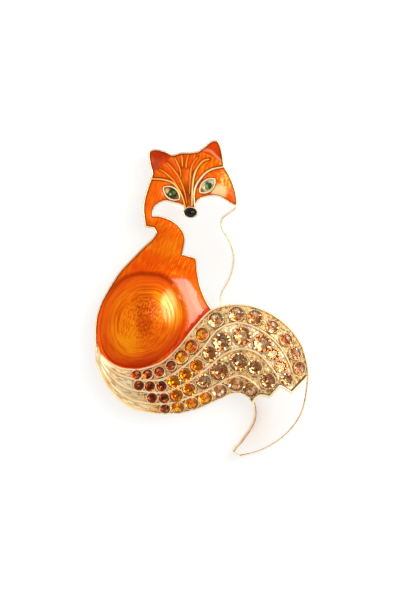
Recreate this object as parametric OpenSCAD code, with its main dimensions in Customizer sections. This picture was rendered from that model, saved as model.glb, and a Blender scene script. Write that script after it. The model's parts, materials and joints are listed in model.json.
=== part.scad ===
// Fox brooch: a gold-plated casting with enamel in sunk cells and round stones set along the tail.
// It lies face up and stands on its closed pin fitting. The figure's left and right are as seen.
// The figure is drawn in small squares and then stretched to its real width and height.

/* [Brooch] */
// Width across the whole figure, from the haunch to the curl of the tail
brooch_w = 40.5; // [38:0.5:60]
// Height from the tip of the tail to the tip of the right ear
brooch_h = 60; // [56:0.5:90]
// Height of the casting's back above the surface, taken up by the pin fitting
back_z = 4.2; // [4:0.1:6]

/* [Casting] */
// Thickness of the body, from its back to the top of its gold walls
body_t = 2.6; // [2.4:0.1:4]
// Thickness of the head, which stands in front of the body
head_t = 3.4; // [3:0.1:5]
// Thickness of the tail along its two edges
tail_edge_t = 2.9; // [2.6:0.1:5]
// Rise of the tail's crown above its edges
tail_rise = 2; // [1:0.1:3]
// Width of the gold rim round the enamel
rim_w = 0.34; // [0.25:0.01:0.6]
// Width of the two raised brows
brow_w = 0.46; // [0.3:0.01:0.7]
// Width of the fine wires that fan over the forehead
fan_wire_w = 0.28; // [0.2:0.01:0.4]
// Width of the walls between white and orange enamel
seam_w = 0.24; // [0.2:0.01:0.5]
// Width of the gold ring round each eye and the nose
ring_w = 0.26; // [0.2:0.01:0.5]
// Width of the raised ridges along the tail
ridge_w = 0.46; // [0.3:0.01:0.7]
// Height of the ridges and of the tail's rim
ridge_h = 0.32; // [0.2:0.01:0.6]
// Depth of the hollow in the back of the casting
back_hollow = 0.7; // [0.4:0.05:1]
// Width of the rim left round that hollow
back_rim_w = 1.3; // [1:0.1:2]

/* [Enamel] */
// Depth of the enamel cells below the top of the body's walls
cell_depth = 1; // [0.6:0.05:1.2]
// How far the enamel lies below the top of the walls
enamel_drop = 0.08; // [0.04:0.01:0.2]
// Rise of the domed haunch above the rest of the body
haunch_rise = 2.3; // [1:0.1:3]
// Gap left between enamel or a stone and the metal round it
fit_gap = 0.05; // [0.03:0.01:0.08]

/* [Stones] */
// Length of each eye's almond between its two corners
eye_l = 4; // [3.6:0.1:4.4]
// Height of each eye's almond
eye_h = 2.1; // [1.9:0.1:2.3]
// Depth of the eyes and of the nose's seat below the top of the face's walls
eye_depth = 0.7; // [0.5:0.05:0.9]
// How far a stone's girdle stands above the metal that holds it
girdle_lift = 0.1; // [0.05:0.01:0.2]
// Diameter of the garnet stones
garnet_d = 1.9; // [1.6:0.05:2]
// Diameter of the amber stones
amber_d = 2.45; // [2:0.05:2.5]
// Diameter of the small champagne stones
champagne_s_d = 2.25; // [1.8:0.05:2.4]
// Diameter of the middle champagne stones
champagne_m_d = 2.75; // [2.2:0.05:2.9]
// Diameter of the large champagne stones
champagne_l_d = 3.3; // [2.6:0.05:3.5]
// Diameter of the green stone in the left eye
eye_left_d = 1.75; // [1.4:0.05:1.8]
// Diameter of the green stone in the right eye
eye_right_d = 1.55; // [1.2:0.05:1.6]
// Width of the oval nose cabochon
nose_w = 2.4; // [2:0.1:2.6]
// Height of the oval nose cabochon on the face
nose_h = 1.65; // [1.4:0.05:1.8]
// Rise of the nose cabochon above the gold ring round it
nose_rise = 0.55; // [0.3:0.05:0.8]

/* [Pin fitting] */
// Length of the bar that is fixed to the back
bar_l = 28; // [24:1:30]
// Width of the bar and of its two flat feet
bar_w = 5; // [4:0.5:6]
// Thickness of the bar
bar_t = 0.9; // [0.6:0.1:1.2]
// Length of the knuckle and of the catch along the bar
foot_l = 3; // [2.5:0.5:4]
// Diameter of the pin stem
stem_d = 0.9; // [0.7:0.1:1.1]
// Height of the stem's centre above the surface
stem_z = 1.3; // [1.1:0.1:1.6]

/* [Hidden] */
// Fineness of the drawn curves and of round edges
CURVE_STEPS = 4;
EDGE_FACETS = 24;
// How far a cut starts below, or ends above, the metal that it opens
OVERCUT = 1;

// A point of a smooth curve that runs through b and c, with a before and d after them
function between(a, b, c, d, t) =
    0.5 * (2 * b + (c - a) * t + (2 * a - 5 * b + 4 * c - d) * t * t + (3 * b - a - 3 * c + d) * t * t * t);

// A smooth open curve through the points, without its last point when it leads on to another
function curve(p, last = true) = [
    for (i = [0 : len(p) - 2], k = [0 : CURVE_STEPS - 1])
        between(p[max(i - 1, 0)], p[i], p[i + 1], p[min(i + 2, len(p) - 1)], k / CURVE_STEPS),
    if (last) p[len(p) - 1]
];

// A smooth closed curve through the points
function ring(p) = let (n = len(p)) [
    for (i = [0 : n - 1], k = [0 : CURVE_STEPS - 1])
        between(p[(i + n - 1) % n], p[i], p[(i + 1) % n], p[(i + 2) % n], k / CURVE_STEPS)
];

// A closed outline from curves that meet in corners
function outline(parts) = [for (p = parts) each curve(p, last = false)];

// The head: left ear and crown, right ear, right cheek and chin, then the left cheek
HEAD = outline([
    [[57, 283], [55, 290], [53.5, 298], [54, 304.5], [57.5, 306.8], [63, 307], [71, 304.8], [78, 301.8],
     [86, 303.8], [95, 304], [103, 305]],
    [[103, 305], [108.5, 309], [115, 314.4], [120, 316], [123.5, 314.8], [126, 310], [128.2, 301],
     [129.5, 290]],
    [[129.5, 290], [134.5, 282], [139, 272], [141.6, 262], [142.6, 253], [141, 247], [135, 242.7],
     [129, 238.3]],
    [[129, 238.3], [119, 234], [105, 231], [90, 232.5], [75, 231], [62, 228], [50, 229]],
    [[50, 229], [48.6, 238], [47.8, 247], [48.8, 256], [51.6, 266.5], [55.4, 277], [57, 283]]
]);

// The body and chest: they run on under the head and under the tail
BODY = outline([
    [[60.8, 223.5], [57, 217.7], [47, 208.4], [35.5, 196.6], [24, 184], [14, 168.7], [6, 154], [1, 138.5],
     [-0.4, 123], [0.6, 108], [8, 96], [20, 84], [36, 78], [56, 80], [76, 92], [92, 108], [106, 124],
     [118, 138], [127, 146]],
    [[127, 146], [126.6, 157], [127.5, 162.5], [131.5, 170], [136, 179], [139, 189.5], [139.6, 201],
     [137, 211.5], [132.5, 221], [128, 228], [127, 234], [129, 240]],
    [[129, 240], [105, 250], [75, 250], [58, 236]],
    [[58, 236], [59.3, 228.2], [60.8, 223.5]]
]);

// The tail, a row for each station from its root to its tip:
// outer x, outer y, inner x, inner y, share across of ridges 1, 2 and 3, share of the rise
TAIL = [
    [2.2, 112.5, 0.2, 110, 0.25, 0.5, 0.75, 0],
    [6.5, 100.5, 2.3, 94, 0.25, 0.5, 0.75, 0.05],
    [15, 92.4, 7.5, 79.5, 0.24, 0.52, 0.77, 0.15],
    [25, 87.4, 17.5, 64.5, 0.23, 0.53, 0.78, 0.3],
    [36, 85.8, 30, 52.7, 0.23, 0.53, 0.79, 0.45],
    [47, 86.2, 45, 46, 0.26, 0.52, 0.79, 0.6],
    [67, 93.2, 72, 43, 0.32, 0.585, 0.805, 0.75],
    [85, 109.3, 97.5, 46.5, 0.31, 0.565, 0.8, 0.9],
    [101, 129, 119.5, 55.8, 0.31, 0.57, 0.83, 1],
    [118.5, 146, 136.5, 63.2, 0.24, 0.54, 0.82, 1],
    [143, 150.7, 146, 63.2, 0.2, 0.495, 0.8, 1],
    [167.5, 145.5, 154.3, 58.7, 0.22, 0.48, 0.81, 1],
    [189.5, 131.7, 159.3, 52, 0.24, 0.5, 0.81, 1],
    [205.5, 111.5, 160.7, 44, 0.26, 0.5, 0.78, 1],
    [212.4, 87, 159.8, 36, 0.25, 0.5, 0.76, 0.95],
    [211.8, 65, 156.3, 28, 0.25, 0.5, 0.75, 0.85],
    [206, 42, 151, 20.5, 0.25, 0.5, 0.75, 0.7],
    [191, 22, 145.3, 13, 0.25, 0.5, 0.75, 0.5],
    [169, 7.4, 140.7, 8.3, 0.25, 0.5, 0.75, 0.25],
    [145, 0.3, 138, 4.6, 0.25, 0.5, 0.75, 0]
];
TAIL_LANES = 4;
TAIL_STEPS = 2;
TAIL_END = len(TAIL) - 1;
// Station at which each ridge runs out at the white tip
RIDGE_ENDS = [13.8, 13, 12.2];
// Power of the tail's curve across: larger gives a flatter crown and steeper edges
TAIL_FULLNESS = 2.4;
// Station from which the white tip's enamel is needed, and the steps of its top across
TIP_START = 11;
TIP_STEPS = 8;

function tail_row(u) = let (i = min(floor(u), TAIL_END - 1))
    between(TAIL[max(i - 1, 0)], TAIL[i], TAIL[i + 1], TAIL[min(i + 2, TAIL_END)], u - i);

// Share of the way across the tail at which lane value v lies: 0 outer edge, 1 to 3 ridges, 4 inner edge
function across(row, v) = let (
    k = min(floor(v), TAIL_LANES - 1),
    shares = [0, row[4], row[5], row[6], 1]
) shares[k] + (shares[k + 1] - shares[k]) * (v - k);

function tail_squares(u, s) = let (row = tail_row(u))
    [row[0], row[1]] + ([row[2], row[3]] - [row[0], row[1]]) * s;

TAIL_US = [for (i = [0 : TAIL_END * TAIL_STEPS]) i / TAIL_STEPS];
TAIL_OUTLINE = concat(
    [for (u = TAIL_US) tail_squares(u, 0)],
    [for (i = [len(TAIL_US) - 1 : -1 : 0]) tail_squares(TAIL_US[i], 1)]
);

// The drawing's own extent, which is stretched to the brooch's width and height
ALL_SQUARES = concat(HEAD, BODY, TAIL_OUTLINE);
X_LO = min([for (p = ALL_SQUARES) p.x]);
X_HI = max([for (p = ALL_SQUARES) p.x]);
Y_LO = min([for (p = ALL_SQUARES) p.y]);
Y_HI = max([for (p = ALL_SQUARES) p.y]);

// From squares to millimetres about the middle of the brooch
function at(p) = [
    (p.x - (X_LO + X_HI) / 2) * brooch_w / (X_HI - X_LO),
    (p.y - (Y_LO + Y_HI) / 2) * brooch_h / (Y_HI - Y_LO)
];
function placed(points) = [for (p = points) at(p)];

// Heights of the metal's parts
body_top = back_z + body_t;
head_top = back_z + head_t;
cell_floor = body_top - cell_depth;
above_all = back_z + tail_edge_t + tail_rise + haunch_rise + head_t;

module head_shape() { polygon(placed(HEAD)); }
module body_shape() { polygon(placed(BODY)); }
module tail_shape() { polygon(placed(TAIL_OUTLINE)); }
module figure_shape() {
    head_shape();
    body_shape();
    tail_shape();
}

// A wire of even width along a curve, with square ends
function side_of(p, i) = let (
    d = p[min(i + 1, len(p) - 1)] - p[max(i - 1, 0)]
) [-d.y, d.x] / norm(d);
module wire(points, width) {
    p = placed(curve(points));
    polygon(concat(
        [for (i = [0 : len(p) - 1]) p[i] + side_of(p, i) * width / 2],
        [for (i = [len(p) - 1 : -1 : 0]) p[i] - side_of(p, i) * width / 2]
    ));
}

// The walls of the face
BROWS = [
    [[55, 277.3], [66.6, 276.6], [74.4, 274.8], [79.6, 271.6], [83.3, 267], [86.2, 261.5], [88.6, 255.5],
     [90.5, 248]],
    [[130.5, 289.5], [120.1, 287.6], [114.2, 285.4], [109.2, 281.7], [104.8, 276.4], [101.4, 271],
     [99.6, 265], [99.2, 259], [99.8, 249]],
    [[114.5, 296.7], [109.4, 295.6], [105.4, 292.2], [101.8, 287], [99.4, 281], [98, 273], [97.2, 262],
     [97, 250]]
];
FAN_WIRES = [
    [[63.7, 287.1], [68.3, 284.6], [73.7, 280.3], [78.7, 275.3], [82.4, 269.5]],
    [[71.6, 293.9], [75.1, 290.3], [79.4, 285.3], [83.4, 279.5], [86.7, 272.5], [89.7, 263.5], [92, 252]],
    [[76.4, 295.6], [80.4, 290.4], [84.4, 283.5], [86.4, 279]],
    [[79.8, 298.9], [82.5, 294], [85.4, 288], [88.2, 280]],
    [[86.4, 298.5], [87.4, 293], [87.6, 287]],
    [[92.8, 298.6], [91.2, 293], [90.8, 287]],
    [[97.8, 298], [95.2, 290], [94.2, 280], [94, 268], [94.3, 254]]
];
WHITE_SEAMS = [
    [[90.5, 249.5], [86, 251.8], [80, 253.5], [71, 255.4], [65, 253.7], [60, 249.8], [57.6, 244.5],
     [57.8, 239.7]],
    [[57.8, 239.7], [64.5, 239.6], [71, 237.7], [78, 234.5], [84, 229.7], [88, 224], [89.8, 217.5],
     [89, 210], [87.2, 201.5]],
    [[87.2, 201.5], [93, 200], [99.5, 198], [101.2, 195], [102.2, 184], [104.5, 172], [108.5, 160.5],
     [113, 151.5], [117.5, 145]],
    [[99.6, 251], [104, 257], [110, 259.5], [117, 260.6], [124, 259.7], [131, 256.2], [136.5, 252.5],
     [144, 250]]
];

// Enamel fields: each is cut by the rim and by the walls
LEFT_EAR = outline([
    [[50, 310], [66, 312], [77, 301.5]],
    [[77, 301.5], [70.5, 293.5], [63.5, 287.5], [58.2, 282]],
    [[58.2, 282], [50, 281], [46, 296], [50, 310]]
]);
RIGHT_EAR = outline([
    [[101, 306], [110, 318], [124, 320], [133, 300], [129, 291.5]],
    [[129, 291.5], [124, 295], [117.5, 299.5], [110, 303], [101, 306]]
]);
LEFT_CHEEK = outline([
    BROWS[0],
    [[90.5, 248], [86, 240], [72, 228], [58, 230]],
    [[58, 230], [44, 228], [42, 250], [50, 278], [55, 277.3]]
]);
RIGHT_CHEEK = outline([
    BROWS[1],
    [[99.8, 249], [110, 259.5], [124, 259.7], [136.5, 252.5], [146, 248]],
    [[146, 248], [146, 270], [130.5, 289.5]]
]);
WHITE = concat(
    outline([WHITE_SEAMS[0], WHITE_SEAMS[1], WHITE_SEAMS[2]]),
    outline([
        [[117.5, 145], [128, 146], [140, 160], [146, 190], [146, 225], [150, 245], [144, 250]],
        [for (i = [len(WHITE_SEAMS[3]) - 1 : -1 : 0]) WHITE_SEAMS[3][i]]
    ])
);
TIP = [
    [152, 54], [161, 58.5], [165.5, 61.6], [175, 59.8], [184.3, 71], [196.2, 64], [211, 80], [222, 84],
    [222, -10], [120, -10], [130, 10], [146, 20]
];
HAUNCH = ring([
    [47, 182.5], [31, 178.5], [19.5, 169], [9.5, 154], [4.8, 135], [5.8, 117], [13, 101.5], [27, 92],
    [44, 89.5], [62, 94], [77, 105], [88.5, 122], [92.5, 139], [90, 156], [80, 173], [65, 181.5]
]);

// Each eye keeps its place above the muzzle's wall: its middle lies a share of the eye's height from
// a point of that wall, and its stone a share of the almond's size from that middle
LEFT_EYE = at([80, 253.5]) + [-0.31, 0.895] * eye_h;
RIGHT_EYE = at([110, 259.5]) + [0.25, 0.95] * eye_h;
LEFT_PUPIL = LEFT_EYE + [0.057 * eye_l, -0.072 * eye_h];
RIGHT_PUPIL = RIGHT_EYE + [0.057 * eye_l, -0.036 * eye_h];
LEFT_SLOPE = -37;
RIGHT_SLOPE = 42;
NOSE = at([95.6, 243.6]);

// An almond: two equal arcs that meet in points
module almond(middle, slope, grow) {
    l = eye_l + 2 * grow;
    h = eye_h + 2 * grow;
    r = (l * l + h * h) / (4 * h);
    translate(middle) rotate(slope) intersection() {
        translate([0, r - h / 2]) circle(r = r, $fn = 96);
        translate([0, h / 2 - r]) circle(r = r, $fn = 96);
    }
}

// An oval about the middle
function oval(w, h) = [
    for (i = [0 : EDGE_FACETS - 1]) let (a = i * 360 / EDGE_FACETS) [w / 2 * cos(a), h / 2 * sin(a)]
];

// Everything that stays gold inside the rim
module walls() {
    for (b = BROWS) wire(b, brow_w);
    for (f = FAN_WIRES) wire(f, fan_wire_w);
    for (s = WHITE_SEAMS) wire(s, seam_w);
    almond(LEFT_EYE, LEFT_SLOPE, ring_w);
    almond(RIGHT_EYE, RIGHT_SLOPE, ring_w);
    translate(NOSE) polygon(oval(nose_w + 2 * (ring_w + fit_gap), nose_h + 2 * (ring_w + fit_gap)));
}

module inside_rim() { offset(delta = -rim_w) figure_shape(); }

// The open cells in front of the tail: head, body and chest
module front_cells() {
    difference() {
        inside_rim();
        walls();
        offset(delta = seam_w) tail_shape();
    }
}

module tip_cell() {
    intersection() {
        offset(delta = -rim_w) tail_shape();
        polygon(placed(TIP));
    }
}

// One field of enamel, clear of its walls and of the next field
module field(points) {
    offset(delta = -fit_gap) intersection() {
        front_cells();
        polygon(placed(points));
    }
}
module cheek_field(points) {
    offset(delta = -fit_gap) intersection() {
        front_cells();
        difference() {
            polygon(placed(points));
            polygon(placed(WHITE));
        }
    }
}
module enamel_slab(top) {
    bottom = cell_floor + fit_gap;
    translate([0, 0, bottom]) linear_extrude(top - enamel_drop - bottom) children();
}

// The tail's domed top
function dome(s) = 1 - pow(abs(2 * s - 1), TAIL_FULLNESS);
function tail_top(u, s) = back_z + tail_edge_t + tail_rise * tail_row(u)[7] * dome(s);
function tail_point(u, s, lift) = let (p = at(tail_squares(u, s))) [p.x, p.y, tail_top(u, s) + lift];

// Lane values at which the tail's section has a point: e is half a ridge's width, in lanes, and is kept
// to less than a third of a lane where the tail narrows
RIDGE_SHARE_MAX = 0.3;
function lane_values(e) = [
    0,
    for (k = [0 : TAIL_LANES - 1]) each [k + e, k + 0.5, k + 1 - e, k + 1]
];
function tail_width(u) = norm(at(tail_squares(u, 1)) - at(tail_squares(u, 0)));
function ridge_lift(u, v) =
    v == 0 || v == TAIL_LANES ? ridge_h :
    v == floor(v) && u <= RIDGE_ENDS[v - 1] ? ridge_h : 0;

// A solid under rows of points: its top is the rows, its bottom is flat below their two ends
module under_rows(rows, bottom) {
    n = len(rows);
    m = len(rows[0]);
    left = n * m;
    right = left + n;
    polyhedron(
        points = [
            for (r = rows) each r,
            for (r = rows) [r[0].x, r[0].y, bottom],
            for (r = rows) [r[m - 1].x, r[m - 1].y, bottom]
        ],
        faces = concat(
            [for (i = [0 : n - 2], j = [0 : m - 2]) each [
                [i * m + j, (i + 1) * m + j + 1, i * m + j + 1],
                [i * m + j, (i + 1) * m + j, (i + 1) * m + j + 1]
            ]],
            [for (i = [0 : n - 2]) each [
                [i * m, left + i, left + i + 1, (i + 1) * m],
                [(i + 1) * m + m - 1, right + i + 1, right + i, i * m + m - 1],
                [left + i, right + i, right + i + 1, left + i + 1]
            ]],
            [[left, for (j = [0 : m - 1]) j, right]],
            [[right + n - 1, for (j = [m - 1 : -1 : 0]) (n - 1) * m + j, left + n - 1]]
        )
    );
}

module tail_body() {
    under_rows([
        for (u = TAIL_US) let (
            row = tail_row(u),
            e = min(RIDGE_SHARE_MAX, ridge_w * TAIL_LANES / 2 / tail_width(u))
        ) [for (v = lane_values(e)) tail_point(u, across(row, v), ridge_lift(u, v))]
    ], back_z);
}

// A smooth dome over a closed outline: rings that shrink towards the middle as they rise
DOME_RINGS = 7;
module dome_over(points, bottom, edge, rise) {
    n = len(points);
    middle = [for (k = [0, 1]) let (xs = [for (p = points) p[k]]) (min(xs) + max(xs)) / 2];
    polyhedron(
        points = [
            for (p = points) [p.x, p.y, bottom],
            for (r = [0 : DOME_RINGS - 1], p = points) let (
                a = 90 * r / DOME_RINGS,
                q = middle + (p - middle) * cos(a)
            ) [q.x, q.y, edge + rise * sin(a)],
            [middle.x, middle.y, edge + rise]
        ],
        faces = concat(
            [[for (i = [0 : n - 1]) i]],
            [for (r = [0 : DOME_RINGS - 1], i = [0 : n - 1]) let (j = (i + 1) % n) each [
                [r * n + i, (r + 1) * n + i, (r + 1) * n + j],
                [r * n + i, (r + 1) * n + j, r * n + j]
            ]],
            [for (i = [0 : n - 1]) [DOME_RINGS * n + i, (DOME_RINGS + 1) * n, DOME_RINGS * n + (i + 1) % n]]
        )
    );
}

// Stone proportions, as shares of the diameter
CROWN = 0.17;
TABLE = 0.56;
GIRDLE = 0.04;
PAVILION = 0.4;
GIRDLE_SIDES = 16;

// A round brilliant about its girdle: octagon table, crown, narrow girdle and pointed pavilion
module brilliant(d) {
    s = GIRDLE_SIDES;
    t = s / 2;
    culet = t + 2 * s;
    polyhedron(
        points = [
            for (i = [0 : t - 1]) let (a = i * 360 / t)
                [TABLE * d / 2 * cos(a), TABLE * d / 2 * sin(a), CROWN * d],
            for (z = [GIRDLE / 2, -GIRDLE / 2], i = [0 : s - 1]) let (a = i * 360 / s)
                [d / 2 * cos(a), d / 2 * sin(a), z * d],
            [0, 0, -PAVILION * d]
        ],
        faces = concat(
            [[for (i = [t - 1 : -1 : 0]) i]],
            [for (i = [0 : t - 1]) let (g = t + 2 * i, h = t + (2 * i + 2) % s, n = (i + 1) % t) each [
                [i, g + 1, g], [i, n, g + 1], [n, h, g + 1]
            ]],
            [for (i = [0 : s - 1]) let (j = (i + 1) % s) each [
                [t + i, t + j, t + s + j, t + s + i],
                [t + s + i, t + s + j, culet]
            ]]
        )
    );
}

// The pocket for it: a plain bore
module pocket(d) {
    depth = PAVILION * d + fit_gap;
    translate([0, 0, -depth]) cylinder(d = d + 2 * fit_gap, h = depth + OVERCUT, $fn = EDGE_FACETS);
}

// The rows of stones, each a ridge-to-ridge lane: first station, last station, then the stones in
// order as their kind and their share of the row's spare length before them
GARNET = "garnet";
AMBER = "amber";
SMALL = "champagne_small";
MIDDLE = "champagne_middle";
LARGE = "champagne_large";
STONE_ROWS = [
    [4.6, 13.65, [
        [GARNET, 0], [GARNET, 1], [GARNET, 2], [GARNET, 3], [AMBER, 2], [AMBER, 1], [AMBER, 3], [MIDDLE, 6],
        [MIDDLE, 6], [MIDDLE, 4], [SMALL, 6], [SMALL, 6], [SMALL, 4], [SMALL, 3]
    ]],
    [4.88, 13.5, [
        [GARNET, 0], [GARNET, 1], [GARNET, 2], [AMBER, 2], [AMBER, 1], [AMBER, 1], [MIDDLE, 5], [LARGE, 1],
        [LARGE, 5], [LARGE, 5], [SMALL, 1], [SMALL, 3], [SMALL, 3]
    ]],
    [5.5, 12.38, [
        [GARNET, 0], [GARNET, 2], [AMBER, 1], [AMBER, 1], [MIDDLE, 3], [LARGE, 3], [LARGE, 5], [MIDDLE, 1],
        [MIDDLE, 5]
    ]],
    [5.95, 11.05, [
        [GARNET, 0], [AMBER, 1], [AMBER, 2], [AMBER, 2], [MIDDLE, 2], [MIDDLE, 4], [MIDDLE, 2]
    ]]
];
function diameter(kind) =
    kind == GARNET ? garnet_d :
    kind == AMBER ? amber_d :
    kind == SMALL ? champagne_s_d :
    kind == MIDDLE ? champagne_m_d : champagne_l_d;

// Pairs of length along a lane's middle and station, for looking a station up by its length
ROW_SAMPLES = 120;
function sum_to(list, n) = n < 0 ? 0 : list[n] + sum_to(list, n - 1);
function lane_middle(lane, u) = let (row = tail_row(u)) at(tail_squares(u, across(row, lane + 0.5)));
function length_table(lane, from, to) = let (
    step = (to - from) / ROW_SAMPLES,
    points = [for (i = [0 : ROW_SAMPLES]) lane_middle(lane, from + i * step)],
    gaps = [for (i = [0 : ROW_SAMPLES]) i == ROW_SAMPLES ? 0 : norm(points[i + 1] - points[i])]
) [
    for (i = 0, d = 0; i <= ROW_SAMPLES; d = d + gaps[i], i = i + 1) [d, from + i * step]
];

// Stations of a row's stones: diameters keep their size, and the gaps share what is left
function stations(lane) = let (
    row = STONE_ROWS[lane],
    stones = row[2],
    n = len(stones),
    table = length_table(lane, row[0], row[1]),
    full = table[ROW_SAMPLES][0],
    filled = [for (i = [0 : n - 1]) i == 0 ? 0 : (diameter(stones[i - 1][0]) + diameter(stones[i][0])) / 2],
    shares = [for (s = stones) s[1]],
    spare = (full - sum_to(filled, n - 1)) / sum_to(shares, n - 1)
) [for (i = [0 : n - 1]) lookup(sum_to(filled, i) + spare * sum_to(shares, i), table)];

// Each tail stone: its kind, station, share across and name
TAIL_STONES = [
    for (lane = [0 : TAIL_LANES - 1]) let (us = stations(lane), stones = STONE_ROWS[lane][2])
        for (i = [0 : len(stones) - 1]) [
            stones[i][0],
            us[i],
            across(tail_row(us[i]), lane + 0.5),
            str("tail_stone_", lane + 1, "_", i < 9 ? "0" : "", i + 1)
        ]
];

// Puts a stone or pocket at its place, square to the tail's dome there
SLOPE_STEP = 0.04;
module on_tail(stone) {
    u = stone[1];
    s = stone[2];
    along = tail_point(u + SLOPE_STEP, s, 0) - tail_point(u - SLOPE_STEP, s, 0);
    over = tail_point(u, s + SLOPE_STEP, 0) - tail_point(u, s - SLOPE_STEP, 0);
    c = cross(over, along);
    up = (c.z > 0 ? c : -c) / norm(c);
    translate(tail_point(u, s, 0))
        rotate([0, acos(up.z), atan2(up.y, up.x)])
            translate([0, 0, girdle_lift]) children();
}

// The casting: rims, walls, brows, eye rims, nose ring and tail in one piece of metal
module casting() {
    color("gold") difference() {
        union() {
            translate([0, 0, back_z]) linear_extrude(body_t) body_shape();
            translate([0, 0, back_z]) linear_extrude(head_t) head_shape();
            tail_body();
        }
        translate([0, 0, cell_floor]) linear_extrude(above_all) front_cells();
        translate([0, 0, cell_floor]) linear_extrude(above_all) tip_cell();
        translate([0, 0, head_top - eye_depth]) linear_extrude(above_all) {
            almond(LEFT_EYE, LEFT_SLOPE, 0);
            almond(RIGHT_EYE, RIGHT_SLOPE, 0);
            translate(NOSE) polygon(oval(nose_w + 2 * fit_gap, nose_h + 2 * fit_gap));
        }
        translate(concat(LEFT_PUPIL, eye_girdle(eye_left_d))) pocket(eye_left_d);
        translate(concat(RIGHT_PUPIL, eye_girdle(eye_right_d))) pocket(eye_right_d);
        for (stone = TAIL_STONES) on_tail(stone) pocket(diameter(stone[0]));
        translate([0, 0, back_z - OVERCUT]) linear_extrude(OVERCUT + back_hollow)
            offset(delta = -back_rim_w) figure_shape();
    }
}

// The girdle of an eye stone stands just above the eye's gold floor
function eye_girdle(d) = head_top - eye_depth + girdle_lift + GIRDLE * d;

// The pin fitting: a bar let into the hollow back, a knuckle and a catch with flat feet, and the stem
BAR_MIDDLE = [106, 142];
module pin_clasp() {
    bar_top = back_z + back_hollow - fit_gap;
    color("gainsboro") translate(at(BAR_MIDDLE)) {
        translate([-bar_w / 2, -bar_l / 2, bar_top - bar_t]) cube([bar_w, bar_l, bar_t]);
        for (end = [-1, 1]) translate([-bar_w / 2, end * (bar_l - foot_l) / 2 - foot_l / 2, 0])
            cube([bar_w, foot_l, bar_top - bar_t / 2]);
        translate([0, -bar_l / 2 + foot_l / 2, stem_z]) rotate([-90, 0, 0])
            cylinder(d = stem_d, h = bar_l - foot_l, $fn = EDGE_FACETS);
    }
}

module ear_enamel_left() { color("darkred") enamel_slab(head_top) field(LEFT_EAR); }
module ear_enamel_right() { color("darkred") enamel_slab(head_top) field(RIGHT_EAR); }
module cheek_enamel_left() { color("orangered") enamel_slab(head_top) cheek_field(LEFT_CHEEK); }
module cheek_enamel_right() { color("orangered") enamel_slab(head_top) cheek_field(RIGHT_CHEEK); }

// The forehead: all of the head's cell above the two brows that isn't an ear
module forehead_enamel() {
    color("orangered") enamel_slab(head_top) offset(delta = -fit_gap) difference() {
        intersection() {
            front_cells();
            head_shape();
        }
        for (f = [LEFT_EAR, RIGHT_EAR, LEFT_CHEEK, RIGHT_CHEEK, WHITE]) polygon(placed(f));
    }
}

// White enamel: the muzzle at the head's height and the chest at the body's
module muzzle_chest_enamel() {
    color("mistyrose") {
        enamel_slab(body_top) field(WHITE);
        enamel_slab(head_top) intersection() {
            field(WHITE);
            head_shape();
        }
    }
}

// Orange enamel of the neck, back and haunch
module body_enamel() {
    color("darkorange") {
        enamel_slab(body_top) offset(delta = -fit_gap) difference() {
            front_cells();
            polygon(placed(WHITE));
            head_shape();
        }
        dome_over(placed(HAUNCH), cell_floor + cell_depth / 2, body_top - enamel_drop, haunch_rise);
    }
}

module tail_tip_enamel() {
    us = [for (u = TAIL_US) if (u >= TIP_START) u];
    rows = [for (u = us) [for (i = [0 : TIP_STEPS]) tail_point(u, i / TIP_STEPS, -enamel_drop)]];
    color("mistyrose") intersection() {
        under_rows(rows, cell_floor - OVERCUT);
        translate([0, 0, cell_floor + fit_gap]) linear_extrude(above_all) offset(delta = -fit_gap) tip_cell();
    }
}

module nose_stone() {
    color("black") translate(concat(NOSE, 0))
        dome_over(oval(nose_w, nose_h), head_top - eye_depth + fit_gap, head_top, nose_rise);
}

module eye_stone(middle, d) { color("green") translate(concat(middle, eye_girdle(d))) brilliant(d); }
module eye_stone_left() { eye_stone(LEFT_PUPIL, eye_left_d); }
module eye_stone_right() { eye_stone(RIGHT_PUPIL, eye_right_d); }

module tail_stone(stone) {
    kind = stone[0];
    color(kind == GARNET ? "maroon" : kind == AMBER ? "orange" : "tan")
        on_tail(stone) brilliant(diameter(kind));
}

casting();
pin_clasp();
ear_enamel_left();
ear_enamel_right();
forehead_enamel();
cheek_enamel_left();
cheek_enamel_right();
muzzle_chest_enamel();
body_enamel();
tail_tip_enamel();
nose_stone();
eye_stone_left();
eye_stone_right();
for (stone = TAIL_STONES) tail_stone(stone);
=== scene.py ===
import itertools
import json
import math

import bmesh
import bpy
import numpy as np
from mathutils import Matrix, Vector, geometry


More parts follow.
